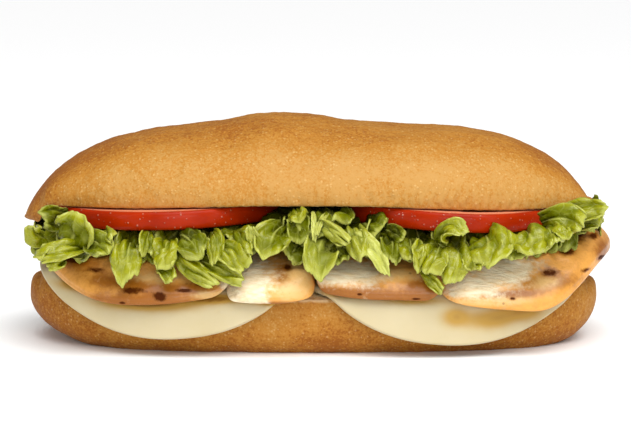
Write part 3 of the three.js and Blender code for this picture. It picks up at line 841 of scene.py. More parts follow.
@dataclass(frozen=True)
class LettuceFinish(FoodFinish):
    """Fresh torn leaf: deep green with brighter edges and pale ribs, and a painted highlight along the
    very rim.
    """

    deep: Colour = (0.036, 0.040, 0.0005, 1)
    fresh: Colour = (0.115, 0.130, 0.0005, 1)
    bright: Colour = (0.25, 0.255, 0.001, 1)
    rib: Colour = (0.50, 0.52, 0.12, 1)

    def paint(self, finish: Finish) -> None:
        """Paints the leaf from its root to its rim, with veins.

        Args:
            finish: The material to fill in, which reads the masks tone, rim and rib and the map leaf.
        """
        sheet = finish.sheet
        clouds = finish.mottle(170.0, 1.8)
        grain = finish.mottle(800.0, 1.6)
        tone = sheet.math("ADD", sheet.mask("tone"), sheet.span(clouds, 0, 1, -0.22, 0.22))
        tone = sheet.math("ADD", tone, sheet.span(sheet.mask("rim"), 0.55, 1.0, 0.0, 0.3), clamp=True)
        colour = sheet.mix(sheet.span(tone, 0.0, 0.5), self.deep, self.fresh)
        colour = sheet.mix(sheet.span(tone, 0.45, 1.0), colour, self.bright)
        along = sheet.node("ShaderNodeUVMap", uv_map="leaf").outputs["UV"]
        veins = sheet.node("ShaderNodeTexVoronoi", feature="DISTANCE_TO_EDGE")
        veins.inputs["Scale"].default_value = 4.2
        sheet.feed(veins.inputs["Vector"], along)
        vein = sheet.span(veins.outputs["Distance"], 0.0, 0.09, 1.0, 0.0)
        colour = sheet.mix(sheet.math("MULTIPLY", vein, 0.10), colour, self.rib)
        colour = sheet.mix(sheet.mask("rib"), colour, self.rib)
        # Painted highlight: a pale line along the very rim of each leaf
        colour = sheet.mix(sheet.span(sheet.mask("rim"), 0.86, 0.99, 0.0, 0.45), colour, self.rib)
        relief = finish.relief(260.0, 900.0, 0.3)
        normal = finish.bump(relief, 0.3, 0.4)
        normal = finish.bump(vein, 0.45, -0.22, normal)
        finish.set(
            Base_Color=colour,
            Roughness=sheet.span(grain, 0, 1, 0.20, 0.36),
            Specular_IOR_Level=sheet.span(tone, 0.2, 0.9, 0.04, 0.30),
            Coat_Weight=sheet.span(tone, 0.4, 0.95, 0.0, 0.20),
            Coat_Roughness=0.06,
            Subsurface_Weight=0.05,
            Subsurface_Radius=(0.5, 1.0, 0.1),
            Subsurface_Scale=1.0 * MM,
            Normal=normal,
        )


# The foods


class Side(Enum):
    """The side of the sandwich that a leaf hangs from."""

    FRONT = -1
    BACK = 1


@dataclass
class LowerHalf:
    """The roll's lower half, with its crust and its cut face."""

    shape: LowerShape
    face_share: float = 0.26
    shoulder_share: float = 0.07

    def point(self, turn: float, ring: float, masks: Masks) -> Vector:
        """Place of one vertex.

        Args:
            turn: Round the section, from 0 at the middle of the cut face.
            ring: From 0 at the left end to 1 at the right end.
            masks: Filled with the mask of browning with painted shade, and with cut.

        Returns:
            The place in millimetres.
        """
        shape = self.shape
        t = -math.cos(math.pi * ring)
        x = shape.oval.centre_x + shape.oval.half_length * t
        width = shape.oval.width_at(x)
        rim = min(shape.rim.width_at(x), width)
        blunt = superellipse(t, 8, 4)
        under = superellipse(t, shape.left_tuck if t < 0 else shape.right_tuck, shape.tuck_roundness)
        mirrored = 1 - turn if turn > 0.5 else turn
        side = -1 if turn > 0.5 else 1
        rim_z = shape.bulge_z + (shape.edge_z(x) - shape.bulge_z) * blunt
        half_face = self.face_share / 2
        if mirrored < half_face:
            y = rim * mirrored / half_face
            z = rim_z + (shape.cut_z(x, y) - shape.edge_z(x)) * blunt
            at = Vector((x, side * y, z))
            masks["cut"] = smooth(1.0, 0.94, mirrored / half_face) * smooth(0.97, 0.88, abs(t))
            masks["bake"] = 0.5
            pores = layered(at, (0.45, 1.7, 0.0), (0.25, 0.9, 5.0))
            return Vector((x, side * y, z + min(0.12, 0.35 * pores - 0.1) * blunt))
        if mirrored < half_face + self.shoulder_share:
            k = (mirrored - half_face) / self.shoulder_share * math.pi / 2
            y = rim + (width - rim) * math.sin(k)
            z = rim_z - (rim_z - shape.bulge_z) * (1 - math.cos(k))
            outward = Vector((0, side * math.sin(k), math.cos(k)))
        else:
            start = half_face + self.shoulder_share
            k = (mirrored - start) / (0.5 - start) * math.pi / 2
            y = width * math.cos(k) ** (2 / shape.fullness)
            down = under * math.sin(k) ** (2 / shape.fullness)
            z = shape.bulge_z - (shape.bulge_z + shape.foot_sink) * down
            y += 0.4 * uneven(x, z, 1.0) * math.cos(k) * blunt
            outward = Vector((0, side * math.cos(k), -math.sin(k)))
        at = Vector((x, side * y, z))
        relief = layered(at, (0.30, 7.0, 0.0), (0.16, 2.6, 3.0), (0.07, 1.2, 6.0)) - 0.22
        at += outward * min(0.0, relief) * blunt
        at.z = max(0.0, at.z)
        # Darker towards the bottom, partly browner crust and partly painted shade where it faces down;
        # the left end darker still, painted shade
        low = smooth(11.0, 1.0, at.z)
        ends = smooth(0.80, 1.0, -t) * 0.25
        masks["bake"] = 0.56 + 0.24 * low + ends + 0.1 * lumps(at, 16.0, 2.0)
        masks["cut"] = 0.55 * smooth(1.2, 0.0, abs(z - rim_z))
        masks["cut"] *= smooth(0.4, 0.0, abs(mirrored - half_face)) * smooth(0.97, 0.88, abs(t))
        return at

    def build(self, material: Material) -> bpy.types.Object:
        """Makes the lower half from its material."""
        bm = warped_sphere(steps(250), steps(330), ["bake", "cut"], self.point)
        return make_piece(bm, "lower_roll", material, "bread_lower")


@dataclass
class UpperHalf:
    """The roll's domed upper half."""

    shape: UpperShape
    face_share: float = 0.24

    def wrinkles(self, x: float, height: float) -> float:
        """Short upright creases of the crust above the cut, deepest right of the middle."""
        where = 0.25 + 0.75 * math.exp(-(((x - 32.0) / 30.0) ** 2))
        wave = math.sin(2.1 * x + 4.5 * noise.noise(Vector((0.16 * x, 0.2 * height, 0))))
        return 0.34 * where * wave * smooth(11.0, 1.0, height) * smooth(0.0, 1.2, height)

    def point(self, turn: float, ring: float, masks: Masks) -> Vector:
        """Place of one vertex, from its turn round the section and its ring along the roll.

        Args:
            turn: Round the section, from 0 at the middle of the cut face.
            ring: From 0 at the left end to 1 at the right end.
            masks: Filled with the mask of browning with painted shade, and with cut.

        Returns:
            The place in millimetres.
        """
        shape = self.shape
        t = -math.cos(math.pi * ring)
        x = shape.oval.centre_x + shape.oval.half_length * t
        width = shape.oval.width_at(x)
        nose = shape.nose_left if t < 0 else shape.nose_right
        cut = nose + (shape.cut_z(x) - nose) * superellipse(t, 12, 4)
        top = max(shape.dome_z(x), cut)
        mirrored = 1 - turn if turn > 0.5 else turn
        side = 1 if turn > 0.5 else -1
        lip = min(shape.lip_tuck, 0.5 * width)
        blunt = superellipse(t, 8, 4)
        half_face = self.face_share / 2
        if mirrored < half_face:
            y = (width - lip) * mirrored / half_face
            at = Vector((x, side * y, cut))
            masks["cut"] = smooth(1.0, 0.95, mirrored / half_face) * smooth(0.985, 0.95, abs(t))
            masks["bake"] = 0.3
            pores = layered(at, (0.45, 1.7, 8.0), (0.25, 0.9, 5.0))
            return Vector((x, side * y, cut + max(-0.1, 0.1 - 0.35 * pores) * blunt))
        k = (mirrored - half_face) / (0.5 - half_face) * math.pi / 2
        rise = math.sin(k) ** (2 / shape.fullness)
        y = width * math.cos(k) ** (2 / shape.fullness) - lip * (1 - rise) ** 6
        z = cut + (top - cut) * rise + 0.4 * uneven(x, y, 3.0) * rise * superellipse(t, 4, 2)
        z += shape.crest_z(x) * rise**5
        at = Vector((x, side * y, z))
        outward = Vector((0, side * math.cos(k), math.sin(k)))
        height = z - cut
        wrinkles = self.wrinkles(x, height)
        relief = layered(at, (0.32, 9.0, 1.0), (0.17, 2.8, 4.0), (0.08, 1.3, 7.0)) - 0.25 + wrinkles
        at += outward * relief * blunt
        at.z += 0.25 * lumps(Vector((x, 0, 0)), 1.6, 9.0) * smooth(1.5, 0.0, height) * blunt
        share = height / max(top - cut, 1.0)
        crown = smooth(0.50, 1.0, share)
        # The ends browner; the left end and the left part darker still, painted shade
        ends = smooth(0.62, 1.0, abs(t)) * (0.42 if t < 0 else 0.30)
        left = 0.18 * smooth(10.0, -70.0, x)
        masks["bake"] = 0.10 + 0.52 * crown + ends + left + 0.12 * lumps(at, 18.0, 2.0)
        # A little darker just above the cut; painted shade in the creases of the wrinkles and painted
        # highlight on their ridges
        masks["bake"] += 0.1 * smooth(3.0, 0.0, height) - 0.5 * wrinkles
        masks["cut"] = 0.0
        return at

    def build(self, material: Material) -> bpy.types.Object:
        """Makes the upper half from its material."""
        bm = warped_sphere(steps(250), steps(350), ["bake", "cut"], self.point)
        return make_piece(bm, "upper_roll", material, "bread_upper")


@dataclass
class CheeseSlice:
    """A large round slice that lies on the lower half and hangs over both long sides."""

    name: str
    x: float
    y: float
    half_length: float
    half_width: float
    meeting_x: float
    # Spots below the chicken's edge and their strength: partly chicken juices, partly painted shadow
    juice_and_shadow_spots: Spots
    juice_and_shadow_strength: float = 1.0
    thickness: float = CHEESE_THICKNESS
    flat_share: float = 0.88
    edge_width: float = 0.8
    squareness: float = 2.2
    fold_radius: float = 2.6
    fold_inset: float = 1.5
    hang_angle: float = math.radians(84)
    lift: float = 0.15

    def point(self, turn: float, ring: float, masks: Masks) -> Vector:
        """Place of one vertex: the flat slice laid on the bread and folded over its edge.

        Args:
            turn: Angle round the slice.
            ring: From 0 at the middle of the top to 1 at the middle of the underside.
            masks: Filled with the mask of chicken juices and painted shadow below the chicken's edge.

        Returns:
            The place in millimetres.
        """
        half = self.thickness / 2
        masks["stain"] = 0.0
        flat, level, out, way = flat_food(ring, self.flat_share, 2)
        rounded = self.edge_width / self.half_width
        reach = (1 - rounded) * flat + rounded * out
        level *= way
        angle = 2 * math.pi * turn
        power = 2 / self.squareness
        x = self.x + self.half_length * reach * signed_power(math.cos(angle), power)
        y = self.y + self.half_width * reach * signed_power(math.sin(angle), power)
        foot, normal, outside, inset = RIM.beside(x, y)
        radius = self.fold_radius + inset
        offset = GAP + self.lift + half + level * half
        if outside < -self.fold_inset:
            return Vector((x, y, LOWER.cut_z(x, y) + offset))
        length = outside + self.fold_inset
        bend = min(length / (radius + half), self.hang_angle)
        straight = length - bend * (radius + half)
        start = foot - normal * self.fold_inset
        lateral = (radius + offset) * math.sin(bend) + straight * math.cos(bend) - self.fold_inset
        drop = (radius + offset) * (1 - math.cos(bend)) + straight * math.sin(bend)
        at = foot + normal * lateral
        at.z = LOWER.cut_z(start.x, start.y) + offset - drop
        # Partly chicken juices, partly painted shadow below the chicken's edge
        masks["stain"] = min(0.9, marks(at.x, at.z, self.juice_and_shadow_spots) * self.juice_and_shadow_strength)
        return at

    def build(self, material: Material) -> bpy.types.Object:
        """Makes the slice from its material, cut straight where it meets the other one."""
        bm = warped_sphere(steps(320), steps(150), ["stain"], self.point)
        cut_straight(bm, self.meeting_x, math.copysign(1, self.x))
        return make_piece(bm, f"{self.name}_slice", material, self.name)


def chicken_ground(x: float, y: float) -> float:
    """Height of what the chicken lies on: the cheese, and past the roll's edge a slope."""
    level_until, slope, slope_growth = 1.2, 0.42, 0.026
    above = 3 * GAP + CHEESE_THICKNESS
    foot, _, outside, _ = RIM.beside(x, y)
    if outside < 0:
        return LOWER.cut_z(x, y) + above
    past = max(0.0, outside - level_until)
    return LOWER.edge_z(foot.x) + above - slope * past - slope_growth * past * past


def chicken_taper(x: float) -> float:
    """Share of its reach across the roll that the chicken has at x."""
    centre_x, half_length = 3.0, 104.0
    return superellipse((x - centre_x) / half_length, 3.4, 1.8)


@dataclass
class ChickenPiece:
    """One piece of grilled chicken breast."""

    name: str
    left: float
    right: float
    fronts: tuple[float, float, float]
    back: float
    thick: float
    square_left: float
    square_right: float
    thin_left: float = 0.0
    thin_right: float = 0.0
    climb: float = 0.0
    curl: float = 0.0
    slant_left: float = 0.0
    slant_right: float = 0.0
    cuts: Spots = ()
    creams: Spots = ()
    browns: Spots = ()
    chars: Spots = ()
    flat_share: float = 0.62
    fullness: float = 2.3
    inset_over: float = 4.6
    inset_under: float = 2.2
    brown_everywhere: float = 0.12
    edge_thinning: float = 0.45
    left_tip: float = 34.0
    right_tip: float = 30.0
    lean_from: float = 4.4

    def thickness(self, x: float, y: float) -> float:
        """Thickness at (x, y)."""
        edge = 1 - self.edge_thinning * smooth(22, 48, abs(y))
        left_tip = 1 - self.thin_left * smooth(self.left_tip, 0, x - self.left)
        right_tip = 1 - self.thin_right * smooth(self.right_tip, 0, self.right - x)
        hand_shaped = 1 + 0.035 * uneven(2 * x, 2 * y, self.left)
        return self.thick * edge * left_tip * right_tip * hand_shaped

    def front_at(self, x: float) -> float:
        """How far the piece reaches to the front at x, from its left, middle and right reach."""
        s = (2 * x - self.left - self.right) / (self.right - self.left)
        left, middle, right = self.fronts
        return middle + ((left if s < 0 else right) - middle) * min(1.0, s * s)

    def shear(self, x: float) -> float:
        """How far the piece leans along the roll for each millimetre of height, at x."""
        centre = (self.left + self.right) / 2
        if x < centre:
            return self.slant_left * smooth(centre, self.left + 1, x)
        return self.slant_right * smooth(centre, self.right - 1, x)

    def bottom_z(self, x: float, y: float) -> float:
        """Height of the underside at (x, y)."""
        rise = self.climb * (x - self.left) + self.curl * smooth(28, 2, self.right - x)
        return chicken_ground(x, y) + rise

    def top_z(self, x: float, y: float) -> float:
        """Height of the top at (x, y)."""
        return self.bottom_z(x, y) + self.thickness(x, y)

    def point(self, turn: float, ring: float, masks: Masks) -> Vector:
        """Place of one vertex.

        Args:
            turn: Angle round the piece seen from above.
            ring: From 0 at the middle of the top to 1 at the middle of the underside.
            masks: Filled with cut, brown, cream and char.

        Returns:
            The place in millimetres.
        """
        centre = (self.left + self.right) / 2
        half = (self.right - self.left) / 2
        reach, level, out, way = flat_food(ring, self.flat_share, self.fullness)
        over = way > 0
        inset = (self.inset_over if over else self.inset_under) * (reach - out)
        angle = 2 * math.pi * turn
        across, deep = math.cos(angle), math.sin(angle)
        square = self.square_left if across < 0 else self.square_right
        end_inset = inset * (0.4 if square > 4 else 1.0)
        radius = (abs(across) ** square + abs(deep) ** square) ** (-1 / square)
        x = centre + (half * reach - end_inset) * across * radius
        depth = self.front_at(x) if deep < 0 else self.back
        y = (depth * reach - inset) * deep * radius * chicken_taper(x)
        thick = self.thickness(x, y)
        above = thick * (0.5 + 0.5 * level * way)
        z = self.bottom_z(x, y) + above
        x += self.shear(x) * (above - self.lean_from)
        at = Vector((x, y, z))
        rough = layered(at, (0.30, 8.0, self.thick), (0.16, 3.0, 2.0), (0.06, 1.3, 5.0))
        edge = 1 - level
        if edge > 0:
            inward = Vector((centre - x if square < 4 else 0.0, -y, 0)).normalized()
            at += inward * edge * (0.30 + 0.6 * abs(rough))
        if over:
            at.z += (rough - 0.25) * level
        height = at.z
        front = smooth(-4, -18, y)
        behind = smooth(0, 20, y)
        pale = smooth(0.45, 0.75, 0.5 + 0.9 * lumps(Vector((x, y, 2 * height)), 22.0, 11.0))
        singed = smooth(0.55, 0.75, lumps(at, 9.0, 3.0))
        masks["cut"] = min(1.0, marks(x, height, self.cuts)) * front + behind * pale
        masks["brown"] = min(1.0, self.brown_everywhere + marks(x, height, self.browns))
        masks["cream"] = min(1.0, marks(x, height, self.creams)) * front
        masks["char"] = min(1.0, marks(x, height, self.chars) * front + behind * singed)
        return at

    def build(self, material: Material) -> bpy.types.Object:
        """Makes the piece from its material."""
        bm = warped_sphere(steps(300), steps(150), ["cut", "brown", "cream", "char"], self.point)
        return make_piece(bm, f"{self.name}_breast", material, self.name)


@dataclass
class TomatoSlice:
    """A round slice with rounded skin and seed chambers on its faces."""

    name: str
    x: float
    y: float
    radius: float
    thick: float
    flat_share: float = 0.74
    skin_share: float = 0.035
    fullness: float = 2.6

    def point(self, turn: float, ring: float, masks: Masks) -> Vector:
        """Place of one vertex of the round slice.

        Args:
            turn: Angle round the slice.
            ring: From 0 at the middle of the top to 1 at the middle of the underside.
            masks: Filled with face and chamber.

        Returns:
            The place in millimetres.
        """
        flat, level, out, way = flat_food(ring, self.flat_share, self.fullness)
        reach = (1 - self.skin_share) * flat + self.skin_share * out
        masks["face"] = smooth(1.0, 0.97, flat)
        angle = 2 * math.pi * turn
        petal = 0.5 + 0.5 * math.cos(6 * angle + 0.8)
        chamber = smooth(0.25, 0.6, petal) * smooth(0.22, 0.34, reach) * smooth(0.84, 0.72, reach)
        masks["chamber"] = chamber
        lobe = 1 + 0.01 * math.cos(5 * angle + 0.6) + 0.008 * math.cos(2 * angle)
        x = self.x + self.radius * reach * lobe * math.cos(angle)
        y = self.y + self.radius * reach * lobe * math.sin(angle)
        inner = self.thick / 2 - 0.35 * chamber - 0.05
        return Vector((x, y, UPPER.cut_z(x) - GAP - self.thick / 2 + way * level * inner))

    def holds(self, x: float, y: float, margin: float = 0.4) -> bool:
        """Whether (x, y) is within the slice's outline and a margin round it."""
        return math.hypot(x - self.x, y - self.y) < self.radius + margin

    def bottom_z(self, x: float) -> float:
        """Height of the underside at x."""
        return UPPER.cut_z(x) - GAP - self.thick

    def build(self, material: Material) -> bpy.types.Object:
        """Makes the slice from its material."""
        bm = warped_sphere(steps(360), steps(110), ["face", "chamber"], self.point)
        return make_piece(bm, f"{self.name}_slice", material, self.name)


CHICKEN = [
    ChickenPiece(
        "chicken_1", -82.0, -22.0, (47.4, 47.4, 44.4), 41.0, 8.8, 2.6, 24,
        thin_left=0.5, slant_right=0.9,
        cuts=((-21.5, 22.5, 4.5, 3.0),),
        creams=((-44.0, 23.8, 9.0, 1.6), (-29.0, 19.0, 6.0, 1.4)),
        browns=((-70, 27, 10, 2.4), (-56, 22.5, 10, 1.8), (-47, 17, 24, 2.4), (-38, 20.6, 11, 1.8)),
        chars=((-70.5, 27.3, 5, 1.3), (-63, 25, 4, 0.8), (-51.4, 20.2, 4.4, 1.2),
               (-43.5, 18.6, 2.5, 1.6), (-36.6, 20.4, 3.6, 0.8), (-54.5, 16.6, 1.1, 0.6),
               (-31, 22, 3, 0.6)),
    ),
    ChickenPiece(
        "chicken_2", -21.3, 0.8, (46, 47, 44), 43.0, 9.4, 12, 16, slant_left=0.9, slant_right=-0.3,
        cuts=((-18.5, 23.0, 8.0, 7.0), (-21.0, 17.5, 7.0, 3.5)),
        creams=((-6.0, 20.0, 6.0, 3.0), (-3.0, 26.0, 4.0, 5.0)),
        browns=((-7.5, 24.5, 2.4, 3.0), (-9.0, 16.6, 6.0, 1.2)),
        chars=((-6.5, 26.3, 1.4, 0.8),),
    ),
    ChickenPiece(
        "chicken_3", 1.3, 40.6, (42.8, 45.6, 45.6), 42.0, 8.8, 24, 24,
        slant_left=-0.3, slant_right=1.2,
        cuts=((10.0, 24.5, 10.0, 3.4),),
        creams=((22.0, 24.6, 11.0, 1.8),),
        browns=((24.0, 17.4, 22.0, 3.6), (6.0, 18.8, 10.0, 2.6), (33.0, 21.5, 5.0, 2.0)),
        chars=((14.5, 19.4, 1.0, 0.5), (26.0, 17.3, 2.0, 0.5), (31.0, 18.0, 1.6, 0.5)),
    ),
    ChickenPiece(
        "chicken_4", 41.5, 92.4, (45.4, 48.2, 43.5), 41.0, 9.0, 10, 2.5,
        thin_right=0.42, climb=0.01, curl=6.4, slant_left=1.2,
        cuts=((46.0, 21.0, 10.0, 3.6), (58.0, 25.5, 9.0, 3.2)),
        creams=((52.0, 17.2, 14.0, 1.4), (69.0, 22.0, 5.0, 2.0)),
        browns=((70.0, 22.0, 8.0, 2.0), (88.0, 29.0, 3.0, 3.0), (58.0, 19.0, 10.0, 1.2)),
        chars=((70.5, 24.4, 3.4, 1.2), (76.3, 29.8, 3, 1.3), (79.6, 33.6, 3.2, 1.7), (83.4, 38, 3, 1.6),
               (85.5, 33, 1.6, 0.8), (87.5, 27, 2, 0.8), (82, 24.5, 1.8, 0.7), (59, 18, 0.9, 0.5)),
    ),
]
TOMATO = [
    TomatoSlice("tomato_left", -42.0, -6.0, 35.0, 5.5),
    TomatoSlice("tomato_right", 41.6, -8.6, 32.8, 5.6),
]
# Each slice's spots below the chicken's edge are partly chicken juices, partly painted shadow
CHEESE = [
    CheeseSlice(
        "cheese_left", -38.0, -1.2, 44.5, 50.0, -2.0,
        juice_and_shadow_spots=((-66, 20, 9, 1.6), (-48, 16, 15, 2.2), (-28, 17.5, 8, 1.2), (-9, 16.5, 6, 1)),
    ),
    CheeseSlice(
        "cheese_right", 38.3, -2.6, 45.3, 50.4, -1.2,
        juice_and_shadow_spots=((12, 18.8, 10, 1.2), (30, 17, 10, 1.2), (42.5, 12.4, 4, 3), (53, 11.2, 8, 3),
                (63, 13, 7, 2.6), (72, 17.5, 7, 1.4)),
        juice_and_shadow_strength=0.62,
    ),
]


def chicken_top_z(x: float, y: float) -> float:
    """Top of the chicken at (x, y), or of the nearest piece where two pieces meet."""
    near = [piece for piece in CHICKEN if piece.left - 3 < x < piece.right + 3]
    pieces = near or [CHICKEN[0] if x < 0 else CHICKEN[3]]
    return max(piece.top_z(x, y) for piece in pieces)


def chicken_front(x: float) -> float:
    """How far the chicken reaches from the middle line at x, at the front."""
    piece = min(CHICKEN, key=lambda one: abs(x - (one.left + one.right) / 2) / (one.right - one.left))
    return piece.front_at(x) * chicken_taper(x)


@dataclass(frozen=True)
class Leaf:
    """One torn piece of lettuce: a spine of three points, with its width and its waves."""

    root: Point
    bow: Point
    tip: Point
    width: float
    tone: float = 0.6
    frill: float = 1.0
    cup: float = 0.5
    twist: float = 0.0
    round_tip: float = 1.0
    rib: float = 0.0

    def length(self) -> float:
        """Length from the root to the bow and on to the tip."""
        root, bow, tip = Vector(self.root), Vector(self.bow), Vector(self.tip)
        return (bow - root).length + (tip - bow).length

    def spine(self, s: float) -> tuple[Vector, Vector]:
        """Place and direction of the spine at s, from 0 at the root to 1 at the tip."""
        root, bow, tip = Vector(self.root), Vector(self.bow), Vector(self.tip)
        place = (1 - s) ** 2 * root + 2 * s * (1 - s) * bow + s * s * tip
        return place, (2 * (1 - s) * (bow - root) + 2 * s * (tip - bow)).normalized()

    def reach_at(self, u: float, v: float, phase: float) -> float:
        """Place along the spine, with a rounded and torn tip.

        Args:
            u: From 0 at the root to 1 at the tip.
            v: From -1 at one side to 1 at the other.
            phase: Shift of the leaf's waves.

        Returns:
            The place, 1 at the tip's middle.
        """
        blunt_tip = 0.5 * self.width / self.length()
        torn = 0.15 * noise.noise(Vector((1.3 * v, phase, 0)))
        torn += 0.05 * noise.noise(Vector((4.5 * v, phase, 4)))
        return u * (1 - self.round_tip * blunt_tip * (1 - math.sqrt(max(0.0, 1 - v * v))) + torn)

    def half_width_at(self, u: float, v: float, phase: float) -> float:
        """Half the width in millimetres, torn unevenly, at a place given as in reach_at."""
        sideways = 0.16 * noise.noise(Vector((2.1 * u, phase, math.copysign(3, v))))
        sideways += 0.09 * noise.noise(Vector((5.0 * u, phase, math.copysign(5, v)))) * abs(v)
        return 0.5 * self.width * (0.60 + 0.46 * math.sin(math.pi * (0.02 + 0.72 * u)) + sideways)

    def twisted(self, ahead: Vector, facing: Vector, phase: float) -> tuple[Vector, Vector]:
        """Direction across the leaf and direction out of it, turned by its twist.

        Args:
            ahead: Direction of the spine.
            facing: Where the leaf's face looks before it is twisted.
            phase: Shift of the leaf's waves.

        Returns:
            The two directions.
        """
        across = ahead.cross(facing).normalized()
        normal = across.cross(ahead).normalized()
        turned = self.twist + 0.35 * math.sin(phase)
        return (
            across * math.cos(turned) + normal * math.sin(turned),
            normal * math.cos(turned) - across * math.sin(turned),
        )

    def wave_at(self, u: float, v: float, outer: float, phase: float) -> float:
        """Height of the frill, where outer is 1 at the rim and 0 inside."""
        run = 2.2 * v + 1.6 * u * math.copysign(1, v)
        wave = math.sin(1.7 * run + phase) + 0.36 * math.sin(3.9 * run + 1.7 * phase)
        fine = math.sin(6.5 * run + 2.3 * phase) * smooth(0.7, 1.0, outer)
        return self.frill * (1.15 * wave * outer**1.5 + 0.18 * fine)


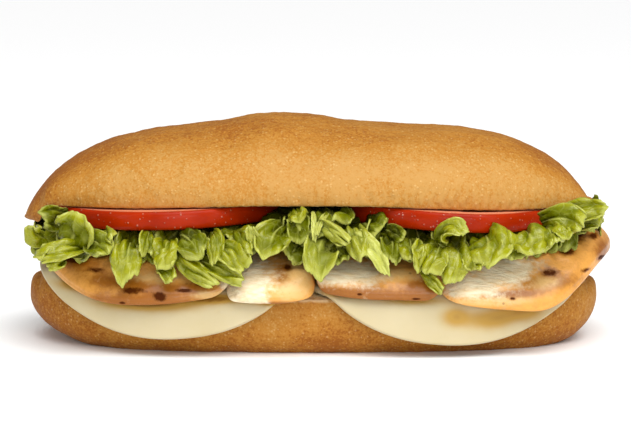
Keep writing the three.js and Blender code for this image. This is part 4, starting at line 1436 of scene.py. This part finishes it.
# The pieces that show at the front, roughly from left to right: the spine's three points, then
# the width, the tone, the frill, the cup, the twist, the roundness of the tip and the rib
FRONT_LEAVES = [
    # The first leaf is given a dark tone: painted shade under the roll's left end
    Leaf((-69, -22, 37.5), (-75, -31, 40), (-78.5, -34.5, 41), 7.6, 0.2, 0.35, 0.4),
    Leaf((-70, -34, 31), (-69, -45, 36), (-67.5, -44, 43.2), 14, 0.6, 0.6, 0.4),
    Leaf((-78, -32, 34), (-81, -38, 35), (-80.5, -40, 38.6), 6, 1, 0.8, 0.5),
    Leaf((-66, -36, 32), (-70, -47.5, 33.5), (-79, -43.5, 30.5), 6.5, 0.95, 1.1, -0.4, 0, 0.8),
    Leaf((-72, -38, 30.5), (-73, -46.5, 30.5), (-76, -45, 27.6), 6.5, 0.8, 1.1, 0.4, 0, 0.9),
    Leaf((-66, -40, 35), (-62, -47, 36.5), (-58, -47.5, 31.4), 7.5, 0.45, 0.7, 0.5),
    Leaf((-60.5, -38, 36.5), (-60.5, -45, 37.6), (-57, -46, 35.2), 5, 0.55, 0.8, 0.4, 0, 0.8),
    Leaf((-52, -40, 34), (-52.5, -48, 34.8), (-52.5, -48.2, 23.4), 8.4, 0.8, 0.35, 0.9),
    Leaf((-47, -38, 37), (-46.5, -46, 37.6), (-47.5, -47, 31), 4.6, 0.6, 0.6, 0.5, 0.2, 0.8),
    Leaf((-41, -40, 34), (-42, -48, 34.8), (-43.5, -48.3, 27.4), 7.8, 1, 0.9, 0.3, -0.2, 0.7),
    Leaf((-43, -42, 28.5), (-42, -47.5, 28), (-39.8, -48.5, 23.4), 4.8, 0.8, 0.7, 0.5, 0.2, 1.2),
    Leaf((-38, -38, 35.5), (-36, -46, 38.6), (-30.5, -47, 30.6), 9.5, 0.35, 0.4, 0.7),
    Leaf((-39, -42, 31), (-36, -47.5, 28), (-27.5, -48.5, 22.9), 5.2, 0.8, 0.7, 0.5, 0.1, 1),
    Leaf((-28.5, -40, 36.8), (-27, -47, 37.6), (-27.5, -47.5, 29.5), 4.8, 0.75, 0.5, 1.6, 0.1, 0.8),
    Leaf((-27, -42, 33), (-23, -48, 33.5), (-18.5, -48.5, 27.2), 8, 0.8, 1.2, 0.3, 0, 0.8),
    Leaf((-32, -42, 29), (-27, -47.5, 27.5), (-19, -48.3, 24.6), 6, 0.75, 1, 0.3, 0.1, 0.8),
    Leaf((-21, -38, 36.6), (-20.5, -46, 37.6), (-17.3, -47, 31.5), 4.2, 0.6, 0.6, 0.6, 0.3, 1),
    Leaf((-7.5, -40, 38.8), (-12, -47.5, 38), (-11.5, -48, 30.2), 10, 0.72, 0.6, 0.6, -0.1, 0.9),
    Leaf((-13.5, -43, 32), (-16.5, -47, 35), (-17.3, -46.5, 39.4), 3.6, 1, 0.4, 0.5, 0.2, 1.3, 0.3),
    Leaf((-4, -36, 43), (-4, -42, 43.4), (-3.7, -43, 40.2), 5.6, 0.8, 0.3, 0.5),
    Leaf((-3.5, -38, 42), (-3, -43, 42), (-3.5, -44, 34), 6.5, 0.3, 0.5, 0.5, 0, 0.9),
    Leaf((1, -38, 42.5), (1.5, -44, 42), (1.5, -44.5, 35), 1.8, 1, 0.2, 0.3, 0.2, 1.2, 0.7),
    Leaf((5, -38, 42), (3.5, -44, 42), (1.8, -45, 36.5), 1.8, 0.9, 0.2, 0.3, -0.2, 1.2, 0.5),
    Leaf((2.8, -42, 39), (5, -47, 39), (11, -47.5, 34.5), 4.8, 1, 1.1, 0.5, -0.3, 0.8, 0.2),
    Leaf((4, -40, 35), (2.5, -48, 35.5), (2.2, -48.5, 24.6), 9.5, 0.68, 0.7, 0.4, 0, 1.1, 0.12),
    Leaf((8, -40, 32), (8.5, -46, 32), (9, -46.5, 28.5), 5.6, 0.2, 0.5, 0.5, 0, 0.9),
    Leaf((13, -40, 37.6), (13.5, -47, 38), (15, -47.5, 30), 7, 0.9, 1.3, 0.4, 0.2, 0.7, 0.1),
    Leaf((13.5, -43, 37), (17.5, -48, 36), (22.3, -48.6, 26), 4.8, 1, 0.3, 0.5, -0.3, 0.9, 0.6),
    Leaf((24, -40, 35), (24, -46, 36), (24, -47, 28.6), 6.8, 0.35, 0.7, 0.5, 0, 0.9),
    Leaf((22, -38, 37.4), (24, -44, 37.6), (27, -45, 35.4), 5, 0.15, 0.6, 0.5, 0, 0.9),
    Leaf((29, -40, 35), (29.5, -47, 35.6), (29.5, -47.5, 29.6), 7, 0.55, 0.8, 0.4, 0, 0.8),
    Leaf((33, -42, 33.6), (32.5, -48, 34), (31.8, -48.5, 25.8), 6.2, 0.9, 0.8, 0.4, 0.3, 1.1),
    Leaf((38, -42, 33), (36.5, -48, 33.6), (34.5, -48.5, 24.8), 7, 0.8, 0.8, 0.4, -0.2, 1.1),
    Leaf((33, -44, 26), (34.5, -48, 24.5), (38.5, -48.7, 20.4), 3, 0.85, 1, 0.4, 0, 1.1),
    Leaf((38, -42, 34), (38, -48, 41), (45.6, -48.3, 37.4), 6.5, 0.85, 0.6, -0.8, 0.2, 0.8),
    Leaf((43, -42, 32.6), (43.5, -48, 33.2), (40.8, -48.6, 22.8), 7.6, 0.85, 1.1, 0.4, 0.1, 1),
    Leaf((51, -38, 36), (52, -47, 37), (51.5, -47.6, 28.6), 13, 0.8, 1.7, 0.3, 0, 0.6),
    Leaf((58.5, -37, 35.6), (59.5, -45, 36), (59, -46.4, 29.6), 8, 0.45, 1.2, 0.3, 0.1, 0.8),
    Leaf((63, -38, 37), (64, -46.5, 38), (65, -47, 31), 12.5, 0.95, 1.7, 0.3, -0.1, 0.6),
    Leaf((69, -36, 38), (70, -45.6, 38.6), (70.5, -46, 34), 7, 0.7, 1.2, 0.5, 0.2, 0.8),
    Leaf((46.5, -42, 31), (47, -47.5, 31), (48, -48, 27), 6, 0.65, 1.2, 0.4, 0, 0.8),
    Leaf((71, -38, 38), (73.5, -45.5, 40), (74.5, -46, 35.6), 5, 1, 0.7, 1.3, 0.2, 0.8),
    Leaf((68, -34, 39), (75, -42, 42.6), (79, -42.5, 38.8), 9, 0.75, 0.7, 0.5, 0, 0.9),
    Leaf((72, -30, 40), (80, -36, 44.2), (86.8, -37, 43.4), 6.2, 0.85, 0.6, 0.4, 0.2, 1),
    Leaf((78, -28, 38), (83, -34, 40), (85.8, -34, 38.6), 6.2, 0.65, 0.7, 0.4, 0, 0.9),
]


@dataclass
class LettuceHeap:
    """The heap of torn lettuce: a packed core, the pieces that show, and more all round."""

    centre_x: float = 1.0
    half_length: float = 80.0
    half_width: float = 33.0
    plan: tuple[float, float] = (2.6, 2.3)
    thickness: float = 0.45
    least_y: float = -49.6
    most_y: float = 47.1
    least_x: float = -83.2
    most_x: float = 87.6
    soft: float = 1.6
    chicken_span: tuple[float, float] = (-83.0, 91.0)
    over_chicken: float = 0.35
    under_roof: float = 0.4
    crumple: float = 0.85
    seed: int = 11
    behind_front: int = 60
    at_back: int = 74

    def edge_y(self, x: float) -> float:
        """How far the core reaches from the middle line at x."""
        return self.half_width * superellipse((x - self.centre_x) / self.half_length, *self.plan)

    def settle(self, at: Vector) -> Vector:
        """Moves a point of a leaf clear of the foods above and below, and into the sandwich's box."""
        at.x = min(self.most_x, max(self.least_x, at.x))
        beyond = self.least_y + self.soft - at.y
        if beyond > 0:
            at.y = self.least_y + self.soft * math.exp(-beyond / self.soft)
        at.y = min(self.most_y, at.y)
        left, right = self.chicken_span
        if abs(at.y) < chicken_front(at.x) - 1.0 and left < at.x < right:
            at.z = max(at.z, chicken_top_z(at.x, at.y) + self.over_chicken)
        for tomato in TOMATO:
            highest = tomato.bottom_z(at.x) - self.under_roof
            if tomato.holds(at.x, at.y) and at.z > highest:
                at.z = highest - 0.15 * (at.z - highest)
        if abs(at.y) < UPPER.oval.width_at(at.x):
            at.z = min(at.z, UPPER.cut_z(at.x) - self.under_roof)
        return at

    def core_point(self, turn: float, ring: float, masks: Masks) -> Vector:
        """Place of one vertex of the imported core, with its masks tone, rim and rib."""
        t = -math.cos(math.pi * ring)
        x = self.centre_x + (self.half_length - 3) * t
        angle = 2 * math.pi * turn
        y = max(0.0, self.edge_y(x) - 2.5) * signed_power(math.cos(angle), 0.6)
        low = chicken_top_z(x, y) + 0.3
        holding = any(tomato.holds(x, y, 1.0) for tomato in TOMATO)
        high = (TOMATO[0].bottom_z(x) if holding else UPPER.cut_z(x)) - 0.5
        high = max(high, low + 0.4)
        lift = 0.5 + 0.5 * signed_power(math.sin(angle), 0.5)
        z = blend(low, high, lift)
        z -= 1.6 * (0.5 + lumps(Vector((x, y, 0)), 5.0, 2.0)) * smooth(0.55, 1.0, lift)
        # The core has the darkest tone: painted shade inside the heap
        masks.update(tone=0.0, rim=0.0, rib=0.0)
        return Vector((x, y, max(z, low)))

    def add_leaf(self, bm: Mesh, leaf: Leaf, number: int, side: Side) -> None:
        """Adds one leaf to a mesh, as a waved sheet along its spine.

        Args:
            bm: The mesh to add to.
            leaf: The leaf.
            number: The leaf's number, which varies its waves.
            side: The side that its face is turned to.
        """
        rows, columns = steps(30), steps(22)
        tone, rim, rib = (bm.verts.layers.float[name] for name in ("tone", "rim", "rib"))
        uv = bm.loops.layers.uv["leaf"]
        made = bmesh.ops.create_grid(bm, x_segments=columns, y_segments=rows, size=1.0)["verts"]
        faces = {face for vert in made for face in vert.link_faces}
        for face in faces:
            for loop in face.loops:
                co = loop.vert.co
                loop[uv].uv = (0.5 + 0.5 * co.x + number, 0.5 + 0.5 * co.y + 0.37 * number)
        facing = Vector((0.0, side.value, 0.35)).normalized()
        phase = 1.9 * number
        length = leaf.length()
        for vert in made:
            v, u = vert.co.x, 0.5 + 0.5 * vert.co.y
            place, ahead = leaf.spine(leaf.reach_at(u, v, phase))
            across, normal = leaf.twisted(ahead, facing, phase)
            half = leaf.half_width_at(u, v, phase)
            outer = max(abs(v) ** 1.5, smooth(0.45, 1.0, u))
            fold = abs(noise.noise(Vector((1.4 * v + phase, 1.9 * u, phase))))
            fold += 0.22 * abs(noise.noise(Vector((3.2 * v, 3.4 * u, 2.0 * phase))))
            lift = leaf.wave_at(u, v, outer, phase) - leaf.cup * half * 0.3 * v * v
            lift += self.crumple * (fold - 0.3) * min(half, 5.0)
            lift += 0.12 * lumps(Vector((v * half, u * length, phase)), 1.8)
            vert.co = self.settle(place + across * (half * v) + normal * lift)
            # Painted shade in the tone: darker towards the root, inside the sandwich, and in the
            # hollows of the crumples; lighter on their raised parts
            shaded = 0.5 * smooth(0.65, 0.0, u)
            vert[tone] = max(0.0, leaf.tone - shaded - 0.8 * (0.36 - fold) * (1 - outer))
            vert[rim] = outer
            vert[rib] = max(leaf.rib, 0.5 * smooth(0.09, 0.02, abs(v)) * smooth(1.0, 0.3, u))

    def scattered(self, count: int, side: Side, draw: random.Random) -> list[Leaf]:
        """More leaves along one side, spread evenly with small random shifts.

        Args:
            count: Number of leaves.
            side: The side that they hang from.
            draw: Source of random numbers.

        Returns:
            The leaves.
        """
        reach_share, drop_share = (0.72, 0.7) if side is Side.FRONT else (1.0, 1.0)
        # The hidden front leaves are darker than those at the back: painted shade among the front
        # leaves
        darkest, brightest = (0.0, 0.45) if side is Side.FRONT else (0.35, 0.95)
        leaves = []
        for i in range(count):
            x = blend(-80.0, 81.0, (i + draw.random()) / count)
            edge = self.edge_y(x)
            low = chicken_top_z(x, side.value * edge) + 1.2
            tomato_there = any(tomato.holds(x, side.value * edge) for tomato in TOMATO)
            high = (TOMATO[0].bottom_z(x) if tomato_there else UPPER.cut_z(x)) - 1.2
            layer = draw.random()
            root_z = blend(low, high, 0.25 + 0.75 * layer)
            reach = blend(9.0, 13.5, draw.random()) * reach_share
            drop = blend(2.0, 9.0, draw.random()) * drop_share
            t = (x - self.centre_x) / self.half_length
            lean = math.copysign(abs(t) ** 4, t) * 9
            sweep = blend(-5.0, 5.0, draw.random())
            tip_x = x + lean + sweep
            root = (x, side.value * max(edge - 9, 2), root_z)
            bow_z = root_z + blend(0.5, 3.5, draw.random())
            bow = (x + 0.6 * lean, side.value * (edge + 0.8 * reach), bow_z)
            tip = (tip_x, side.value * (edge + reach), root_z - drop)
            tone = blend(darkest, brightest, draw.random())
            width = blend(8, 12, draw.random())
            frill = blend(0.7, 1.3, draw.random())
            cup = blend(-0.3, 0.8, draw.random())
            leaves.append(Leaf(root, bow, tip, width, tone, frill, cup))
        return leaves

    def build_leaves(
        self, name: str, leaves: list[Leaf], side: Side, material: Material
    ) -> bpy.types.Object:
        """Makes one piece of many leaves.

        Args:
            name: Name of the piece.
            leaves: The leaves.
            side: The side that they face.
            material: The leaf material.

        Returns:
            The piece.
        """
        bm = bmesh.new()
        for layer in ("tone", "rim", "rib"):
            bm.verts.layers.float.new(layer)
        bm.loops.layers.uv.new("leaf")
        for number, leaf in enumerate(leaves):
            self.add_leaf(bm, leaf, number, side)
        piece = make_piece(bm, name, material, "lettuce", closed=False)
        shell = piece.modifiers.new("leaf_thickness", "SOLIDIFY")
        shell.thickness = self.thickness * MM
        shell.offset = 0.0
        return piece

    def build(self, material: Material) -> list[bpy.types.Object]:
        """Makes the core and the leaves from their material."""
        draw = random.Random(self.seed)
        bm = warped_sphere(steps(96), steps(160), ["tone", "rim", "rib"], self.core_point)
        bm.loops.layers.uv.new("leaf")
        core = make_piece(bm, "lettuce_core", material, "lettuce")
        behind = self.scattered(self.behind_front, Side.FRONT, draw)
        back = self.scattered(self.at_back, Side.BACK, draw)
        return [
            core,
            self.build_leaves("lettuce_front", FRONT_LEAVES, Side.FRONT, material),
            self.build_leaves("lettuce_behind", behind, Side.FRONT, material),
            self.build_leaves("lettuce_back", back, Side.BACK, material),
        ]


# The studio


@dataclass
class Studio:
    """Pale floor, soft lights and the camera, set up as a food studio."""

    camera_at: Point = (1.705, -723.767, 124.438)
    elevation: float = math.radians(7.0)
    lens: float = 135.0
    sensor: float = 36.0
    floor_size: float = 8.0
    floor_white: float = 0.96
    air: float = 0.25
    air_seen: float = 1.05
    sun: float = 2.85
    sun_angle: float = math.radians(60)
    sun_turn: Point = (math.radians(30), 0.0, math.radians(16))
    aim: Point = (0.0, 0.0, 0.03)

    @staticmethod
    def stand(name: str, data: bpy.types.ID, at: Vector, turn: Euler) -> bpy.types.Object:
        """Stands a light or the camera in the scene.

        Args:
            name: Its name.
            data: The light or the camera.
            at: Where it stands, in metres.
            turn: Its turn.

        Returns:
            The new object.
        """
        made = bpy.data.objects.new(name, data)
        made.location = at
        made.rotation_euler = turn
        bpy.context.scene.collection.objects.link(made)
        return made

    def build_floor(self) -> None:
        """Lays the white floor."""
        bm = bmesh.new()
        bmesh.ops.create_grid(bm, x_segments=1, y_segments=1, size=self.floor_size / 2)
        mesh = bpy.data.meshes.new("floor")
        bm.to_mesh(mesh)
        bm.free()
        floor = bpy.data.objects.new("floor", mesh)
        material = bpy.data.materials.new("floor_white")
        material.use_nodes = True
        surface = material.node_tree.nodes["Principled BSDF"]
        white = self.floor_white
        surface.inputs["Base Color"].default_value = (white, white, white, 1)
        surface.inputs["Roughness"].default_value = 0.85
        surface.inputs["Specular IOR Level"].default_value = 0.1
        mesh.materials.append(material)
        bpy.context.scene.collection.objects.link(floor)

    def build_world(self) -> None:
        """Sets the even light from all round, white where the camera sees it."""
        world = bpy.data.worlds.new("studio_air")
        world.use_nodes = True
        sheet = Sheet(world.node_tree)
        background = world.node_tree.nodes["Background"]
        seen = sheet.node("ShaderNodeLightPath").outputs["Is Camera Ray"]
        background.inputs["Color"].default_value = (1.0, 1.0, 1.0, 1)
        strength = sheet.span(seen, 0, 1, self.air, self.air_seen)
        sheet.feed(background.inputs["Strength"], strength)
        bpy.context.scene.world = world

    def light(self, name: str, at: Point, size: tuple[float, float], watts: float) -> None:
        """Adds a soft rectangular light that points at the sandwich.

        Args:
            name: The light's name.
            at: Where it stands, in metres.
            size: Its width and height.
            watts: Its power.
        """
        data = bpy.data.lights.new(name, "AREA")
        data.shape = "RECTANGLE"
        data.size, data.size_y = size
        data.energy = watts
        turn = (Vector(self.aim) - Vector(at)).to_track_quat("-Z", "Y").to_euler()
        self.stand(name, data, Vector(at), turn)

    def overhead(self) -> None:
        """Adds soft light from above the camera's right, which also keeps the floor white far away."""
        data = bpy.data.lights.new("overhead", "SUN")
        data.energy = self.sun
        data.angle = self.sun_angle
        self.stand("overhead", data, Vector(), Euler(self.sun_turn))

    def build_camera(self) -> None:
        """Stands the camera where the photograph was taken from."""
        data = bpy.data.cameras.new("camera")
        data.lens = self.lens
        data.sensor_width = self.sensor
        data.clip_start = 0.01
        at = (Vector(self.camera_at) + OWN_TO_FRAME) * MM
        turn = Euler((math.pi / 2 - self.elevation, 0, 0))
        bpy.context.scene.camera = self.stand("camera", data, at, turn)

    def build(self) -> None:
        """Sets up the whole studio."""
        bpy.context.scene.view_settings.view_transform = "Standard"
        self.build_camera()
        self.build_floor()
        self.build_world()
        self.overhead()
        self.light("key_box", (0.25, -0.55, 1.10), (0.9, 0.7), 4.6)
        self.light("front_box", (0.12, -1.00, 0.22), (0.7, 0.35), 3.5)
        self.light("strip_left", (-0.85, -0.75, 0.42), (0.12, 0.8), 1.3)
        self.light("strip_right", (0.85, -0.75, 0.42), (0.12, 0.8), 1.3)


def main() -> None:
    """Builds the studio and then every food, from the bottom up."""
    logging.basicConfig(level=logging.INFO, format="%(name)s %(message)s")
    Studio().build()
    effects = SharedEffects()
    bread = BreadFinish().material("bread", effects)
    LowerHalf(LOWER).build(bread)
    UpperHalf(UPPER).build(bread)
    cheese = CheeseFinish().material("cheese", effects)
    for slice_ in CHEESE:
        slice_.build(cheese)
    chicken = ChickenFinish().material("chicken", effects)
    for piece in CHICKEN:
        piece.build(chicken)
    tomato = TomatoFinish().material("tomato", effects)
    for slice_ in TOMATO:
        slice_.build(tomato)
    LettuceHeap().build(LettuceFinish().material("lettuce", effects))


if __name__ == "__main__":
    main()
